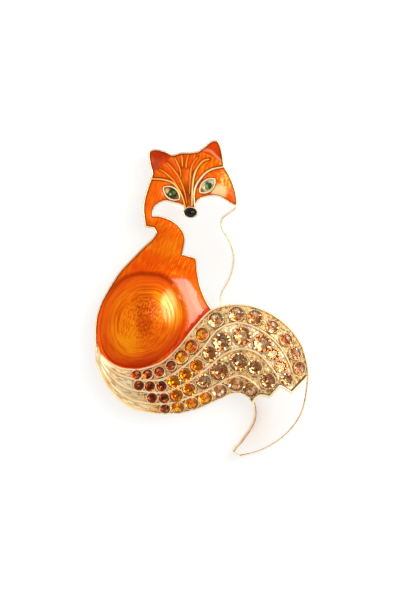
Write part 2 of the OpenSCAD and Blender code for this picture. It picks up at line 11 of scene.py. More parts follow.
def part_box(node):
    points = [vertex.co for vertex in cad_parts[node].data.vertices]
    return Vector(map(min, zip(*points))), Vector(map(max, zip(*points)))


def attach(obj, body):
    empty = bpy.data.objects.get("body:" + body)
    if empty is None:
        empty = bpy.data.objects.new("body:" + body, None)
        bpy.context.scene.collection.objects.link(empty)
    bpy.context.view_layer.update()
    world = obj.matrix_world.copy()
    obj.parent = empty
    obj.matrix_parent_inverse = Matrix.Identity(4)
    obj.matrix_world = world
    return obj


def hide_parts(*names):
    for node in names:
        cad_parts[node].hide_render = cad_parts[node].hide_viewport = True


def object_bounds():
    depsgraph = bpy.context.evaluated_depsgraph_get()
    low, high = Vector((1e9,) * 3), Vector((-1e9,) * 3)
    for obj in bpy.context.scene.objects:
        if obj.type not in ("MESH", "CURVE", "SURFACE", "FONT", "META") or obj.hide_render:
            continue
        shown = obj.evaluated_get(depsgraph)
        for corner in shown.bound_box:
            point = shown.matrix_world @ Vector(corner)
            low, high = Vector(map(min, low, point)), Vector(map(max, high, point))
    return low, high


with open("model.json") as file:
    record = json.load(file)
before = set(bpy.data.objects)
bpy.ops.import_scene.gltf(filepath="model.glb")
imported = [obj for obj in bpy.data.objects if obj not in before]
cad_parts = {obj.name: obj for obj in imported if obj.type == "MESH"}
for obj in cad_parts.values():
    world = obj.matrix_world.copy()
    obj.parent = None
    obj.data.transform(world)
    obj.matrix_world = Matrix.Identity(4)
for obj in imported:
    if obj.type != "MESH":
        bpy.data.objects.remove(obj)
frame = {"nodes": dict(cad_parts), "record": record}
cad_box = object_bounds()
MM = 0.001

# Cast body: rim
# The brooch is one casting in zinc alloy, plated pale gold. Its outer wall stands up past the enamel as a
# thin polished rim, which follows the fox from the root of the tail over the head and down the chest.
RIM_W = 0.34 * MM
RIM_PROUD = 0.05 * MM
RIM_OUT = 0.03 * MM
# The drawing's lines, in squares, x to the right and y up
ROOT_SIDE = [[7.5, 79.5], [2.3, 94], [0.2, 109.5], [-0.4, 123]]
BACK_SIDE = [[-0.4, 123], [1, 138.5], [6, 154], [14, 168.7], [24, 184], [35.5, 196.6], [47, 208.4],
             [57, 217.7], [60.8, 223.5]]
NAPE = [[60.8, 223.5], [58.6, 227.6]]
JAW_LEFT = [[58.6, 227.6], [50, 229]]
CHEEK_SIDE = [[50, 229], [48.6, 238], [47.8, 247], [48.8, 256], [51.6, 266.5], [55.4, 277], [57, 283]]
CROWN = [[57, 283], [55, 290], [53.5, 298], [54, 304.5], [57.5, 306.8], [63, 307], [71, 304.8], [78, 301.8],
         [86, 303.8], [95, 304], [103, 305]]
RIGHT_EAR_SIDE = [[103, 305], [108.5, 309], [115, 314.4], [120, 316], [123.5, 314.8], [126, 310],
                  [128.2, 301], [129.5, 290]]
CHIN_SIDE = [[129.5, 290], [134.5, 282], [139, 272], [141.6, 262], [142.6, 253], [141, 247], [135, 242.7],
             [129, 238.3]]
CHEST_SIDE = [[129, 238.3], [127.2, 234], [128, 228], [132.5, 221], [137, 211.5], [139.6, 201], [139, 189.5],
              [136, 179], [131.5, 170], [127.5, 162.5], [126.6, 157], [127, 146]]
BACK_AND_HEAD = [BACK_SIDE, NAPE, JAW_LEFT, CHEEK_SIDE, CROWN, RIGHT_EAR_SIDE, CHIN_SIDE]
# Stations of the tail from its root to its tip: outer x, y, inner x, y, the shares across of the three
# ridges, and the share of the tail's rise
TAIL = [
    [3.4, 112, 1.9, 108, 0.25, 0.5, 0.75, 0],
    [6.5, 100.5, 2.3, 94, 0.25, 0.5, 0.75, 0.05],
    [15, 92.4, 7.5, 79.5, 0.24, 0.52, 0.77, 0.15],
    [25, 87.4, 17.5, 64.5, 0.23, 0.53, 0.78, 0.3],
    [36, 85.8, 30, 52.7, 0.23, 0.53, 0.79, 0.45],
    [47, 86.2, 45, 46, 0.26, 0.52, 0.79, 0.6],
    [67, 93.2, 72, 43, 0.32, 0.585, 0.805, 0.75],
    [85, 109.3, 97.5, 46.5, 0.31, 0.565, 0.8, 0.9],
    [101, 129, 119.5, 55.8, 0.31, 0.57, 0.83, 1],
    [118.5, 146, 136.5, 63.2, 0.24, 0.54, 0.82, 1],
    [143, 150.7, 146, 63.2, 0.2, 0.495, 0.8, 1],
    [167.5, 145.5, 154.3, 58.7, 0.22, 0.48, 0.81, 1],
    [189.5, 131.7, 159.3, 52, 0.24, 0.5, 0.81, 1],
    [205.5, 111.5, 160.7, 44, 0.26, 0.5, 0.78, 1],
    [212.4, 87, 159.8, 36, 0.25, 0.5, 0.76, 0.95],
    [211.8, 65, 156.3, 28, 0.25, 0.5, 0.75, 0.85],
    [206, 42, 151, 20.5, 0.25, 0.5, 0.75, 0.7],
    [191, 22, 145.3, 13, 0.25, 0.5, 0.75, 0.5],
    [169, 7.4, 140.7, 8.3, 0.25, 0.5, 0.75, 0.25],
    [145, 0.3, 138, 4.6, 0.25, 0.5, 0.75, 0],
]
TAIL_END = len(TAIL) - 1
CURVE_STEPS = 10


def cubic(a, b, c, d, t):
    """The span from b to c of a smooth curve that comes from a and goes on to d, at shares t of the span."""
    return 0.5 * (2 * b + (c - a) * t + (2 * a - 5 * b + 4 * c - d) * t**2 + (3 * b - a - 3 * c + d) * t**3)


def through(points, steps=CURVE_STEPS):
    """A smooth curve through the points."""
    p = np.asarray(points, float)
    around = np.vstack([p[:1], p[:-2]]), p[:-1], p[1:], np.vstack([p[2:], p[-1:]])
    t = np.linspace(0, 1, steps, endpoint=False)[None, :, None]
    spans = cubic(*(q[:, None, :] for q in around), t)
    return np.vstack([spans.reshape(-1, p.shape[1]), p[-1:]])


def joined(curves, steps=CURVE_STEPS):
    """Curves that meet in corners, as one line of points."""
    return np.vstack([through(c, steps)[:-1] for c in curves] + [np.asarray(curves[-1][-1:], float)])


def tail_row(u):
    """The tail's station values at any u between the tabled stations."""
    u = np.atleast_1d(np.asarray(u, float))
    i = np.clip(np.floor(u).astype(int), 0, TAIL_END - 1)
    rows = np.array(TAIL, float)
    return cubic(*(rows[np.clip(i + k, 0, TAIL_END)] for k in (-1, 0, 1, 2)), (u - i)[:, None])


# The drawing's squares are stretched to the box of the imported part
coarse_tail = tail_row(np.arange(0, TAIL_END + 0.5, 0.5))
coarse = np.vstack([joined(BACK_AND_HEAD, 4), coarse_tail[:, 0:2], coarse_tail[:, 2:4]])
box_lo, box_hi = (np.array(corner) for corner in cad_box)
square = (box_hi - box_lo)[:2] / (coarse.max(0) - coarse.min(0))
middle = (coarse.max(0) + coarse.min(0)) / 2


def placed(points):
    """From the drawing's squares to metres."""
    return (np.asarray(points, float) - middle) * square


def smooth(low, high, x):
    """0 below low, 1 above high and a smooth step between."""
    t = np.clip((x - low) / (high - low), 0, 1)
    return t * t * (3 - 2 * t)


BACK = 4.2 * MM
BODY_TOP = BACK + 2.6 * MM
HEAD_TOP = BACK + 3.4 * MM
CHIN_LOW, CHIN_HIGH = placed([[0, 176], [0, 246]])[:, 1]


def front_level(points):
    """Height of the tops of the walls: the body's, and over a smooth step at the chin the head's."""
    return BODY_TOP + (HEAD_TOP - BODY_TOP) * smooth(CHIN_LOW, CHIN_HIGH, points[..., 1])


# The turn between two faces that reads as an edge, and the points over the round top of a wall or a wire
SHARP = math.radians(38)
ARCH = 9


def grid_faces(rows, columns, wrap_rows=False, wrap_columns=False):
    """The quads of a grid of points whose rows follow each other."""
    i = np.arange(rows if wrap_rows else rows - 1)[:, None]
    j = np.arange(columns if wrap_columns else columns - 1)[None, :]
    i2, j2 = (i + 1) % rows, (j + 1) % columns
    corners = i * columns + j, i * columns + j2, i2 * columns + j2, i2 * columns + j
    return np.stack(corners, -1).reshape(-1, 4)


def made(name, points, faces, slot, *materials):
    """A piece of the brooch from points and faces, smooth except where two faces meet at a sharp edge."""
    mesh = bpy.data.meshes.new(name)
    mesh.from_pydata(np.asarray(points).reshape(-1, 3).tolist(), [], [list(map(int, f)) for f in faces])
    shape = bmesh.new()
    shape.from_mesh(mesh)
    bmesh.ops.recalc_face_normals(shape, faces=shape.faces)
    shape.to_mesh(mesh)
    shape.free()
    mesh.shade_smooth()
    mesh.set_sharp_from_angle(angle=SHARP)
    piece = bpy.data.objects.new(name, mesh)
    bpy.context.scene.collection.objects.link(piece)
    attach(piece, "root")
    for material in materials:
        mesh.materials.append(material)
    return piece


def lofted(name, sections, material, closed=False):
    """A closed solid of gold through a row of sections, each a closed ring of points."""
    rows, columns = sections.shape[:2]
    faces = grid_faces(rows, columns, closed, True).tolist()
    if not closed:
        faces += [list(range(columns)), list(range((rows - 1) * columns, rows * columns))]
    return made(name, sections, faces, "gold", material)


def carried(path, section, up=(0, 0, 1), closed=False, width=1.0, height=1.0):
    """The section's points (across, up) carried along the path, across being square to the path and to up."""
    ahead = np.roll(path, -1, 0) - np.roll(path, 1, 0) if closed else np.gradient(path, axis=0)
    up = np.broadcast_to(np.asarray(up, float), path.shape)
    across = np.cross(ahead, up)
    across /= np.linalg.norm(across, axis=1)[:, None]
    width, height = (np.broadcast_to(v, len(path))[:, None, None] for v in (width, height))
    return (path[:, None] + across[:, None] * section[None, :, :1] * width
            + up[:, None] * section[None, :, 1:] * height)


figure_side = placed(joined([*BACK_AND_HEAD, CHEST_SIDE]))
rim_path = np.vstack([placed(through(ROOT_SIDE)[:-1]), figure_side])


def rim_sections(path, top):
    """The rim's wall: its outer face stands a hair outside the cells, and it goes down to the back."""
    a = np.linspace(0, math.pi, ARCH)
    across = np.concatenate([(np.cos(a) - 1) * RIM_W / 2, [-RIM_W, -0.1 * RIM_W, 0]]) + RIM_OUT
    flat = np.column_stack([path, np.zeros(len(path))])
    ring = carried(flat, np.column_stack([-across, np.zeros(len(across))]))
    ring[:, :ARCH, 2] = top[:, None] + (np.sin(a) - 1) * RIM_W / 2
    ring[:, ARCH:, 2] = [BACK, BACK, BACK + 0.1 * MM]
    return ring


class Amount:
    """A number that changes over a surface. Its sums and products add Math nodes to the material."""

    def __init__(self, finish, socket):
        self.finish, self.socket = finish, socket

    def _with(self, operation, other, clamp=False):
        return self.finish.node("Math", {"operation": operation, "use_clamp": clamp}, self, other)

    def __add__(self, other):
        return self._with("ADD", other)

    def __sub__(self, other):
        return self._with("SUBTRACT", other)

    def __rsub__(self, other):
        return self.finish.node("Math", {"operation": "SUBTRACT"}, other, self)

    def __mul__(self, other):
        return self._with("MULTIPLY", other)

    def clamped(self):
        return self._with("ADD", 0.0, clamp=True)

    def step(self, low, high):
        """0 below low, 1 above high and a smooth step between."""
        return self.finish.node("MapRange", {"interpolation_type": "SMOOTHSTEP"}, Value=self,
                                **{"From Min": low, "From Max": high})

    __radd__ = __add__
    __rmul__ = __mul__


class Finish:
    """A material and the few ways in which its nodes are added."""

    def __init__(self, name, **sockets):
        self.material = bpy.data.materials.new(name)
        self.material.use_nodes = True
        self.tree = self.material.node_tree
        self.feed(**sockets)

    def put(self, socket, value):
        """Links a changing value to a socket, or sets a fixed one."""
        if isinstance(value, Amount):
            self.tree.links.new(value.socket, socket)
        else:
            socket.default_value = (*value, 1) if socket.type == "RGBA" else value

    def feed(self, **sockets):
        """Gives the surface its values."""
        shader = self.tree.nodes["Principled BSDF"]
        for name, value in sockets.items():
            self.put(shader.inputs[name.replace("_", " ")], value)
        return self.material

    def node(self, kind, settings=None, *values, out=0, **named):
        """Adds one node: its settings first, then the values or links of its sockets."""
        n = self.tree.nodes.new("ShaderNode" + kind)
        for key, value in (settings or {}).items():
            setattr(n, key, value)
        for key, value in [*enumerate(values), *named.items()]:
            self.put(n.inputs[key], value)
        return Amount(self, n.outputs[out])

    def mixed(self, share, a, b):
        """From colour a to colour b by the share."""
        n = self.tree.nodes.new("ShaderNodeMix")
        n.data_type = "RGBA"
        for key, value in ((0, share), (6, a), (7, b)):
            self.put(n.inputs[key], value)
        return Amount(self, n.outputs[2])

    def place(self):
        return self.node("TexCoord", out="Object")

    def value_of(self, attribute, out="Fac"):
        """A number, or a vector, kept at the mesh's points."""
        return self.node("Attribute", {"attribute_name": attribute}, out=out)

    def scaled(self, vector, by):
        return self.node("VectorMath", {"operation": "MULTIPLY"}, vector, by)

    def noise(self, where, scale, detail=2.0, roughness=0.5):
        return self.node("TexNoise", None, Vector=where, Scale=scale, Detail=detail, Roughness=roughness)

    def bump(self, height, distance, strength):
        """The depth of the bump in metres."""
        return self.node("Bump", None, Height=height, Distance=distance, Strength=strength)


def spot(e, x, y, inner, outer, narrow=1.0):
    """1 near a place in the drawing and 0 beyond, the two reaches in squares, the width divided by narrow."""
    at = placed([x, y])
    gone = e.node("VectorMath", {"operation": "DISTANCE"}, e.scaled(e.place(), (narrow, 1.0, 0.0)),
                  (at[0] * narrow, at[1], 0.0), out="Value")
    return 1.0 - gone.step(inner * square[0], outer * square[0])


def tinted(e, colour, patches):
    """A colour with soft patches over it. Each has its place in the drawing, its inner and outer reach, how
    much it is narrowed, its share and its colour."""
    for x, y, inner, outer, narrow, share, tint in patches:
        colour = e.mixed(spot(e, x, y, inner, outer, narrow) * share, colour, tint)
    return colour


PALE_GOLD = (0.97, 0.82, 0.56)
DEEP_GOLD = (0.90, 0.63, 0.31)


def polished_gold(name, pale=PALE_GOLD, deep=DEEP_GOLD, roughness=0.2, metal=1.0, patches=()):
    """Thin bright plating over a tumbled casting: soft waves and a faint change of tone. Where its piece
    keeps a painted shade, the gold is painted darker there."""
    gold = Finish(name, Metallic=metal)
    where = gold.place()
    cloud = gold.noise(where, 420.0, 3.0)
    colour = tinted(gold, gold.mixed(cloud.step(0.35, 0.75), pale, deep), patches)
    return gold.feed(
        Base_Color=gold.mixed(gold.value_of("dark"), colour, (0.20, 0.08, 0.02)),
        Roughness=roughness + 0.14 * cloud,
        Normal=gold.bump(gold.noise(where, 1500.0), 0.02 * MM, 0.5),
    )


rim_gold = polished_gold("rim_gold")
body_rim = lofted("casting_rim", rim_sections(rim_path, front_level(rim_path) + RIM_PROUD), rim_gold)
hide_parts("casting")

# Cast body: back plate
# Behind the enamel the casting is a plate with a shallow hollow in its back, which saves metal and holds the
# bar of the pin fitting. It is left as cast, plated with the rest.
HOLLOW = 0.7 * MM
HOLLOW_RIM = 1.3 * MM
# The rows of points at the hollow's step are this far apart, and the plate's other points lie wider
HOLLOW_ROWS = 0.15 * MM
PLATE_GAP = 0.9 * MM
PLATE_T = 1.4 * MM
PLATE_INSET = 0.12 * MM
# Where the tail's outer edge comes out from under the chest
TAIL_OUT_START = 9.42
# How many points are measured at a time
BLOCK = 2000


def segments(lines, closed=True):
    """Starts and ends of all the edges of closed loops, or of lines that stay open."""
    if closed:
        return np.vstack(lines), np.vstack([np.roll(line, -1, 0) for line in lines])
    return np.vstack([line[:-1] for line in lines]), np.vstack([line[1:] for line in lines])


def in_blocks(measure, points):
    """What is measured at the points, some of them at a time, so that the tables in between stay small."""
    return np.concatenate([measure(points[k:k + BLOCK]) for k in range(0, len(points), BLOCK)])


def distance(points, *lines, closed=True):
    """The distance from each point to the nearest of the loops, or of lines that stay open."""
    starts, ends = segments(lines, closed)
    along = ends - starts
    length2 = np.maximum((along**2).sum(1), 1e-18)

    def nearest(some):
        p = some[:, None]
        t = np.clip(((p - starts) * along).sum(2) / length2, 0, 1)
        return np.sqrt(((starts + t[..., None] * along - p)**2).sum(2).min(1))
    return in_blocks(nearest, points)


def inside(points, loops):
    """Whether each point is inside the loops: a line from it crosses their edges an odd number of times."""
    starts, ends = segments(loops)
    rise = np.where(ends[:, 1] == starts[:, 1], 1, ends[:, 1] - starts[:, 1])

    def odd(some):
        x, y = some[:, :1], some[:, 1:]
        spans = (starts[:, 1] > y) != (ends[:, 1] > y)
        cross = starts[:, 0] + (y - starts[:, 1]) / rise * (ends[:, 0] - starts[:, 0])
        return (spans & (x < cross)).sum(1) % 2 == 1
    return in_blocks(odd, points)


def shifted(line, by, closed=True):
    """Points beside a line at the given distance, on its right for a positive one."""
    ahead = np.roll(line, -1, 0) - np.roll(line, 1, 0) if closed else np.gradient(line, axis=0)
    ahead /= np.maximum(np.linalg.norm(ahead, axis=1)[:, None], 1e-12)
    return line + np.column_stack([ahead[:, 1], -ahead[:, 0]]) * by


def evenly(line, gap, closed=True):
    """The same line with its points a gap apart."""
    loop = np.vstack([line, line[:1]]) if closed else line
    run = np.concatenate([[0], np.cumsum(np.linalg.norm(np.diff(loop, axis=0), axis=1))])
    at = np.linspace(0, run[-1], max(8, int(run[-1] / gap)) + 1)
    out = np.column_stack([np.interp(at, run, loop[:, k]) for k in range(line.shape[1])])
    return out[:-1] if closed else out


def filled(loops, rings, gap, lines=()):
    """Triangles that fill flat loops, the first outside and the others holes. Rows of points follow the
    loops and the lines at the ring distances, and a hexagonal grid fills the rest."""
    along = [shifted(evenly(line, 0.5 * gap, False), off, False) for line, offs in lines for off in offs]
    sides = []
    for loop, r, side in itertools.product(loops, rings, (-1, 1)):
        row = shifted(evenly(loop, max(0.7 * r, 0.5 * gap)), side * r)
        sides.append(row[distance(row, *loops) > 0.93 * r])
    lo, hi = loops[0].min(0), loops[0].max(0)
    grid = np.stack(np.meshgrid(np.arange(lo[0], hi[0], gap), np.arange(lo[1], hi[1], gap * 0.866)), -1)
    grid[1::2, :, 0] += gap / 2
    grid = grid.reshape(-1, 2)
    grid = grid[distance(grid, *loops) > rings[-1] + 0.5 * gap]
    for row in along:
        grid = grid[distance(grid, row, closed=False) > 0.35 * gap]
    free = np.vstack([*along, *sides, grid])
    free = free[inside(free, loops) & (distance(free, *loops) > 0.4 * rings[0])]
    edges, first = [], 0
    for loop in loops:
        n = len(loop)
        edges += [(first + k, first + (k + 1) % n) for k in range(n)]
        first += n
    flat = np.vstack([*loops, free]) / MM
    points, _, faces = geometry.delaunay_2d_cdt([Vector(p) for p in flat], edges, [], 0, 1e-5)[:3]
    points = np.array([tuple(p) for p in points]) * MM
    faces = np.array(faces)
    return points, faces[inside(points[faces].mean(1), loops)]


def sealed(points, faces, top, bottom):
    """Points and faces of a solid with the same flat faces at its top and its bottom, at the given heights.
    Its sides stand on the edges that only one face has."""
    n = len(points)
    edges = np.stack([faces, np.roll(faces, -1, 1)], -1).reshape(-1, 2)
    code, back = edges[:, 0] * n + edges[:, 1], edges[:, 1] * n + edges[:, 0]
    border = edges[~np.isin(code, back)]
    sides = np.stack([border[:, 1], border[:, 0], border[:, 0] + n, border[:, 1] + n], -1)
    verts = np.vstack([np.column_stack([points, top]), np.column_stack([points, np.broadcast_to(bottom, n)])])
    return verts, faces.tolist() + (faces[:, ::-1] + n).tolist() + sides.tolist()


def tail_squares(u, s):
    """The place in the drawing of station u and share s across, from the outer edge to the inner."""
    row = tail_row(u)
    return row[:, 0:2] + (row[:, 2:4] - row[:, 0:2]) * np.atleast_1d(s)[:, None]


def cast_gold(name):
    """Plating on a surface that was left as cast: a fine even pebble and less shine."""
    gold = Finish(name, Metallic=1.0)
    where = gold.place()
    pebble = gold.noise(where, 3200.0, 3.0, 0.6)
    cloud = gold.noise(where, 160.0, 2.0)
    return gold.feed(
        Base_Color=gold.mixed(cloud.step(0.3, 0.8), PALE_GOLD, DEEP_GOLD),
        Roughness=0.34 + 0.16 * pebble,
        Normal=gold.bump(pebble, 0.05 * MM, 0.8),
    )


tail_us = np.linspace(0, TAIL_END, 12 * TAIL_END + 1)
tail_outer = placed(tail_squares(tail_us, 0))
tail_inner = placed(tail_squares(tail_us, 1))
silhouette = np.vstack([figure_side[:-4], tail_outer[tail_us > TAIL_OUT_START], tail_inner[::-1]])
plate_loop = shifted(evenly(silhouette, PLATE_GAP / 2), PLATE_INSET)
plate_rings = [HOLLOW_RIM + step for step in (-HOLLOW_ROWS, 0, HOLLOW_ROWS)]
plate_points, plate_faces = filled([plate_loop], plate_rings, PLATE_GAP)
sunk = HOLLOW * smooth(HOLLOW_RIM - 0.14 * MM, HOLLOW_RIM + 0.02 * MM, distance(plate_points, plate_loop))
plate_top = np.full(len(plate_points), BACK + PLATE_T)
made("casting_back", *sealed(plate_points, plate_faces, plate_top, BACK + sunk), "gold",
     cast_gold("back_gold"))

# Pin fitting
# A bar soldered into the hollow back, with a knuckle and a catch and a stem between them. It is plain
# stamped brass, plated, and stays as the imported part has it.
pin = frame["nodes"]["pin_clasp"]
pin.data.materials.clear()
pin.data.materials.append(cast_gold("pin_gold"))

# Tail: gold bed, ridges and rim
# The tail is cast with the body: a domed bed between raised ridges, smooth and engraved with fur lines at its
# root, granulated between the stones farther on. Each stone has a seat sunk into it.
TAIL_EDGE_T = 2.9 * MM
TAIL_RISE = 2 * MM
TAIL_FULLNESS = 2.4
RIDGE_ENDS = (13.8, 13.0, 12.2)
RIDGE_W = 0.46 * MM
RIDGE_H = 0.32 * MM
RIDGE_DEPTH = 0.35 * MM
TAIL_RIM_PROUD = 0.22 * MM
BED_SINK = 0.12 * MM
RIDGE_START = 1.3
# At its root the tail goes down behind the body's rim
ROOT_SINK = 0.7 * MM


def tail_top(u, s):
    """The domed top: a full curve across, on a rise that grows and fades along the tail."""
    return BACK + TAIL_EDGE_T + TAIL_RISE * tail_row(u)[:, 7] * (1 - np.abs(2 * s - 1)**TAIL_FULLNESS)


def tail_point(u, s):
    """Points on the dome's top."""
    u, s = np.broadcast_arrays(np.asarray(u, float), np.asarray(s, float))
    flat_u, flat_s = u.ravel(), s.ravel()
    points = np.column_stack([placed(tail_squares(flat_u, flat_s)), tail_top(flat_u, flat_s)])
    return points.reshape(*u.shape, 3)


def tail_up(u, s):
    """The direction straight out of the dome."""
    step = 0.02
    u, s = np.broadcast_arrays(np.asarray(u, float), np.asarray(s, float))
    along = tail_point(np.minimum(u + step, TAIL_END), s) - tail_point(np.maximum(u - step, 0), s)
    over = tail_point(u, np.minimum(s + step, 1)) - tail_point(u, np.maximum(s - step, 0))
    up = np.cross(over, along)
    up *= np.sign(up[..., 2:])
    return up / np.linalg.norm(up, axis=-1, keepdims=True)


def lane_share(u, v):
    """The share across at lane value v: 0 outer edge, 1 to 3 ridges, 4 inner edge."""
    row = tail_row(u)
    shares = np.column_stack([np.zeros(len(row)), row[:, 4:7], np.ones(len(row))])
    v = np.broadcast_to(v, len(row))
    k = np.minimum(np.floor(v).astype(int), 3)
    n = np.arange(len(row))
    return shares[n, k] + (shares[n, k + 1] - shares[n, k]) * (v - k)


def stone_seat(node):
    """A stone's culet, axis and girdle radius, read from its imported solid."""
    solid = frame["nodes"][node].data
    co = np.zeros(len(solid.vertices) * 3)
    solid.vertices.foreach_get("co", co)
    co = co.reshape(-1, 3)
    culet = co[co[:, 2].argmin()]
    axis = co.mean(0) - culet
    axis /= np.linalg.norm(axis)
    away = co - culet
    return culet, axis, np.linalg.norm(away - np.outer(away @ axis, axis), axis=1).max()


slot_of = {p["node"]: p["material_slot"] for p in frame["record"]["subparts"]}
tail_stones = sorted(n for n in frame["nodes"] if n.startswith("tail_stone"))
seats = [stone_seat(n) for n in tail_stones]
# Depth of a cut stone below its girdle and its height above it, in diameters
PAVILION = 0.4
CROWN_H = 0.17
stone_r = np.array([r for _, _, r in seats])
stone_axis = np.array([a for _, a, _ in seats])
stone_centre = np.array([c for c, _, _ in seats]) + stone_axis * (PAVILION * 2 * stone_r)[:, None]
rough = np.random.default_rng(7)


def grains(shape, coarse):
    """Smooth random bumps from -1 to 1: a small random grid stretched over the large one."""
    small = rough.uniform(-1, 1, (shape[0] // coarse + 2, shape[1] // coarse + 2))
    i, j = np.arange(shape[0]) / coarse, np.arange(shape[1]) / coarse
    a, b = np.floor(i).astype(int), np.floor(j).astype(int)
    s, t = smooth(0, 1, i - a)[:, None], smooth(0, 1, j - b)[None, :]
    return ((small[a][:, b] * (1 - s) + small[a + 1][:, b] * s) * (1 - t)
            + (small[a][:, b + 1] * (1 - s) + small[a + 1][:, b + 1] * s) * t)


BED_ROWS, BED_COLUMNS = 424, 113
PEBBLE_H = 0.05 * MM
STROKE_DEPTH = 0.05 * MM
# A seat reaches this much below its stone, and this far out in girdle radii
SEAT_ROOM = 0.25 * MM
SEAT_REACH = 1.14
bed_us = np.linspace(0, TAIL_END, BED_ROWS)
bed_vs = np.linspace(0, 4, BED_COLUMNS)
bed_s = np.array([lane_share(bed_us, v) for v in bed_vs]).T
bed_u = np.broadcast_to(bed_us[:, None], bed_s.shape)
bed_v = np.broadcast_to(bed_vs, bed_s.shape)
bed = tail_point(bed_u, bed_s)
# Where each lane's stones begin and end; the metal is plain before the first
LANE_MIDDLES = [0.5, 1.5, 2.5, 3.5]
FIRST_STONES = [4.45, 4.75, 5.3, 5.7]
LAST_STONES = [13.9, 13.7, 12.7, 11.4]
first = np.interp(bed_v, LANE_MIDDLES, FIRST_STONES)
pebbled = smooth(first - 0.7, first, bed_u)
across = np.linalg.norm(bed[:, -1, :2] - bed[:, 0, :2], axis=1)[:, None]
near_ridge = np.zeros(bed_u.shape)
ridge_foot_shade = np.zeros(bed_u.shape)
for share, end in zip(tail_row(bed_us)[:, 4:7].T, RIDGE_ENDS):
    from_ridge = np.abs(bed_s - share[:, None]) * across
    there = smooth(1.6, 3.2, bed_u) * smooth(end, end - 0.6, bed_u)
    near_ridge = np.maximum(near_ridge, 1 - smooth(0.1 * MM, 0.4 * MM, from_ridge))
    ridge_foot_shade += there * np.exp(-((from_ridge - 0.27 * MM) / (0.09 * MM))**2)
# Engraved strokes at the root, in rows along each lane: the row's share across the lane, its beat, its
# phase and the phase's shift from lane to lane, where its wave starts and ends a stroke, its width and depth
STROKES = [
    (0.34, 8.5, 0.0, 1.7, -0.25, 0.35, 0.055, 1.0),
    (0.66, 7.3, 2.1, 1.7, -0.25, 0.35, 0.055, 1.0),
    (0.5, 5.2, 1.1, 2.2, 0.2, 0.6, 0.05, 1.2),
]
strokes = np.zeros(bed_u.shape)
for lane, (side, beat, phase, shift, low, high, wide, deep) in itertools.product(range(4), STROKES):
    wave = smooth(low, high, np.sin(bed_u * beat + phase + lane * shift))
    strokes += deep * wave * np.exp(-((bed_v - lane - side) / wide)**2)
strokes *= 0.85 * (1 - pebbled) * smooth(1.9, 2.7, bed_u)
bed[..., 2] += PEBBLE_H * grains(bed_u.shape, 3) * pebbled * (1 - near_ridge)
bed[..., 2] -= BED_SINK * (1 - near_ridge) * smooth(0.5, 3, bed_u) + STROKE_DEPTH * strokes
bed[..., 2] -= ROOT_SINK * (1 - smooth(0.1, 1.1, bed_u))
flat_bed = bed.reshape(-1, 3)
seat_depth = np.zeros(len(flat_bed))
seat_shade_ring = np.zeros(len(flat_bed))
for centre, axis, r in zip(stone_centre, stone_axis, stone_r):
    offset = flat_bed - centre
    out = np.linalg.norm(offset - np.outer(offset @ axis, axis), axis=1)
    bowl = np.clip(SEAT_REACH - out / r, 0, 1)**0.8
    seat_depth = np.maximum(seat_depth, (PAVILION * 2 * r + SEAT_ROOM) * bowl)
    seat_shade_ring = np.maximum(seat_shade_ring, np.exp(-((out - 1.05 * r - 0.21 * MM) / (0.09 * MM))**2))
flat_bed[:, 2] -= seat_depth


def keep(piece, name, values, kind="FLOAT"):
    """Keeps a number or a vector for each point of the mesh, for its material to read. Values for the first
    points only are repeated for the rest, such as those on the underside."""
    values = np.concatenate([values] * (len(piece.data.vertices) // len(values)))
    layer = piece.data.attributes.new(name, kind, "POINT")
    layer.data.foreach_set("value" if kind == "FLOAT" else "vector", values.astype(np.float32).ravel())


def granulated_gold(name):
    """Gold worked with a fine punch between the stones, and plain satin at the root. Painted shade lies in
    its
    hollows: the engraved strokes, the stones' seats, a ring round each seat and the feet of the ridges. The
    widest lane is brighter, as its large stones leave more of the metal polished."""
    gold = Finish(name, Metallic=0.6)
    where = gold.place()
    pebbled = gold.value_of("pebbled")
    punched = gold.node("TexVoronoi", {"feature": "SMOOTH_F1"}, Vector=where, Scale=2300.0)
    speck = gold.noise(where, 1900.0, 2.0, 0.6)
    bright = gold.value_of("bright")
    specks = speck.step(0.51, 0.62) * pebbled * (0.85 - 0.5 * bright)
    dark = (gold.value_of("hollow") * 0.85 + specks).clamped()
    cloud = gold.noise(where, 330.0).step(0.3, 0.7)
    tone = gold.mixed(cloud, (1.0, 0.72, 0.33), (0.86, 0.50, 0.17))
    tone = gold.mixed(spot(gold, 64, 78, 22, 46) * 0.4, tone, (0.76, 0.34, 0.09))
    tone = gold.mixed(pebbled, gold.mixed(cloud, (1.0, 0.82, 0.49), (0.98, 0.71, 0.36)), tone)
    tone = gold.mixed(bright * 0.6, tone, (0.98, 0.88, 0.68))
    return gold.feed(
        Base_Color=gold.mixed(dark, tone, (0.26, 0.105, 0.022)),
        Roughness=0.34 + 0.1 * pebbled * speck,
        Normal=gold.bump(punched * (0.06 + 0.94 * pebbled), 0.11 * MM, 0.75),
    )


bed_solid = sealed(flat_bed[:, :2], grid_faces(*bed_u.shape), flat_bed[:, 2], BACK + 0.3 * MM)
tail_bed = made("tail_bed", *bed_solid, "gold", granulated_gold("bed_gold"))
keep(tail_bed, "pebbled", pebbled.ravel())
# Painted shade: the engraved strokes, the seats, a ring round each seat and the feet of the ridges
keep(tail_bed, "hollow", np.clip(strokes.ravel() + smooth(0.0, 0.3 * MM, seat_depth) + 0.55 * seat_shade_ring
                                 + 0.8 * ridge_foot_shade.ravel(), 0, 1))
keep(tail_bed, "bright", (smooth(1.0, 1.15, bed_v) * smooth(2.05, 1.9, bed_v)
                          * smooth(7.6, 8.6, bed_u)).ravel())


def half_round(width, depth):
    """A section with a round top over straight sides that go down by depth."""
    a = np.linspace(0, math.pi, ARCH)
    top = np.stack([np.cos(a), np.sin(a)], -1) * width / 2
    return np.vstack([top, [[-width / 2, -depth], [width / 2, -depth]]])


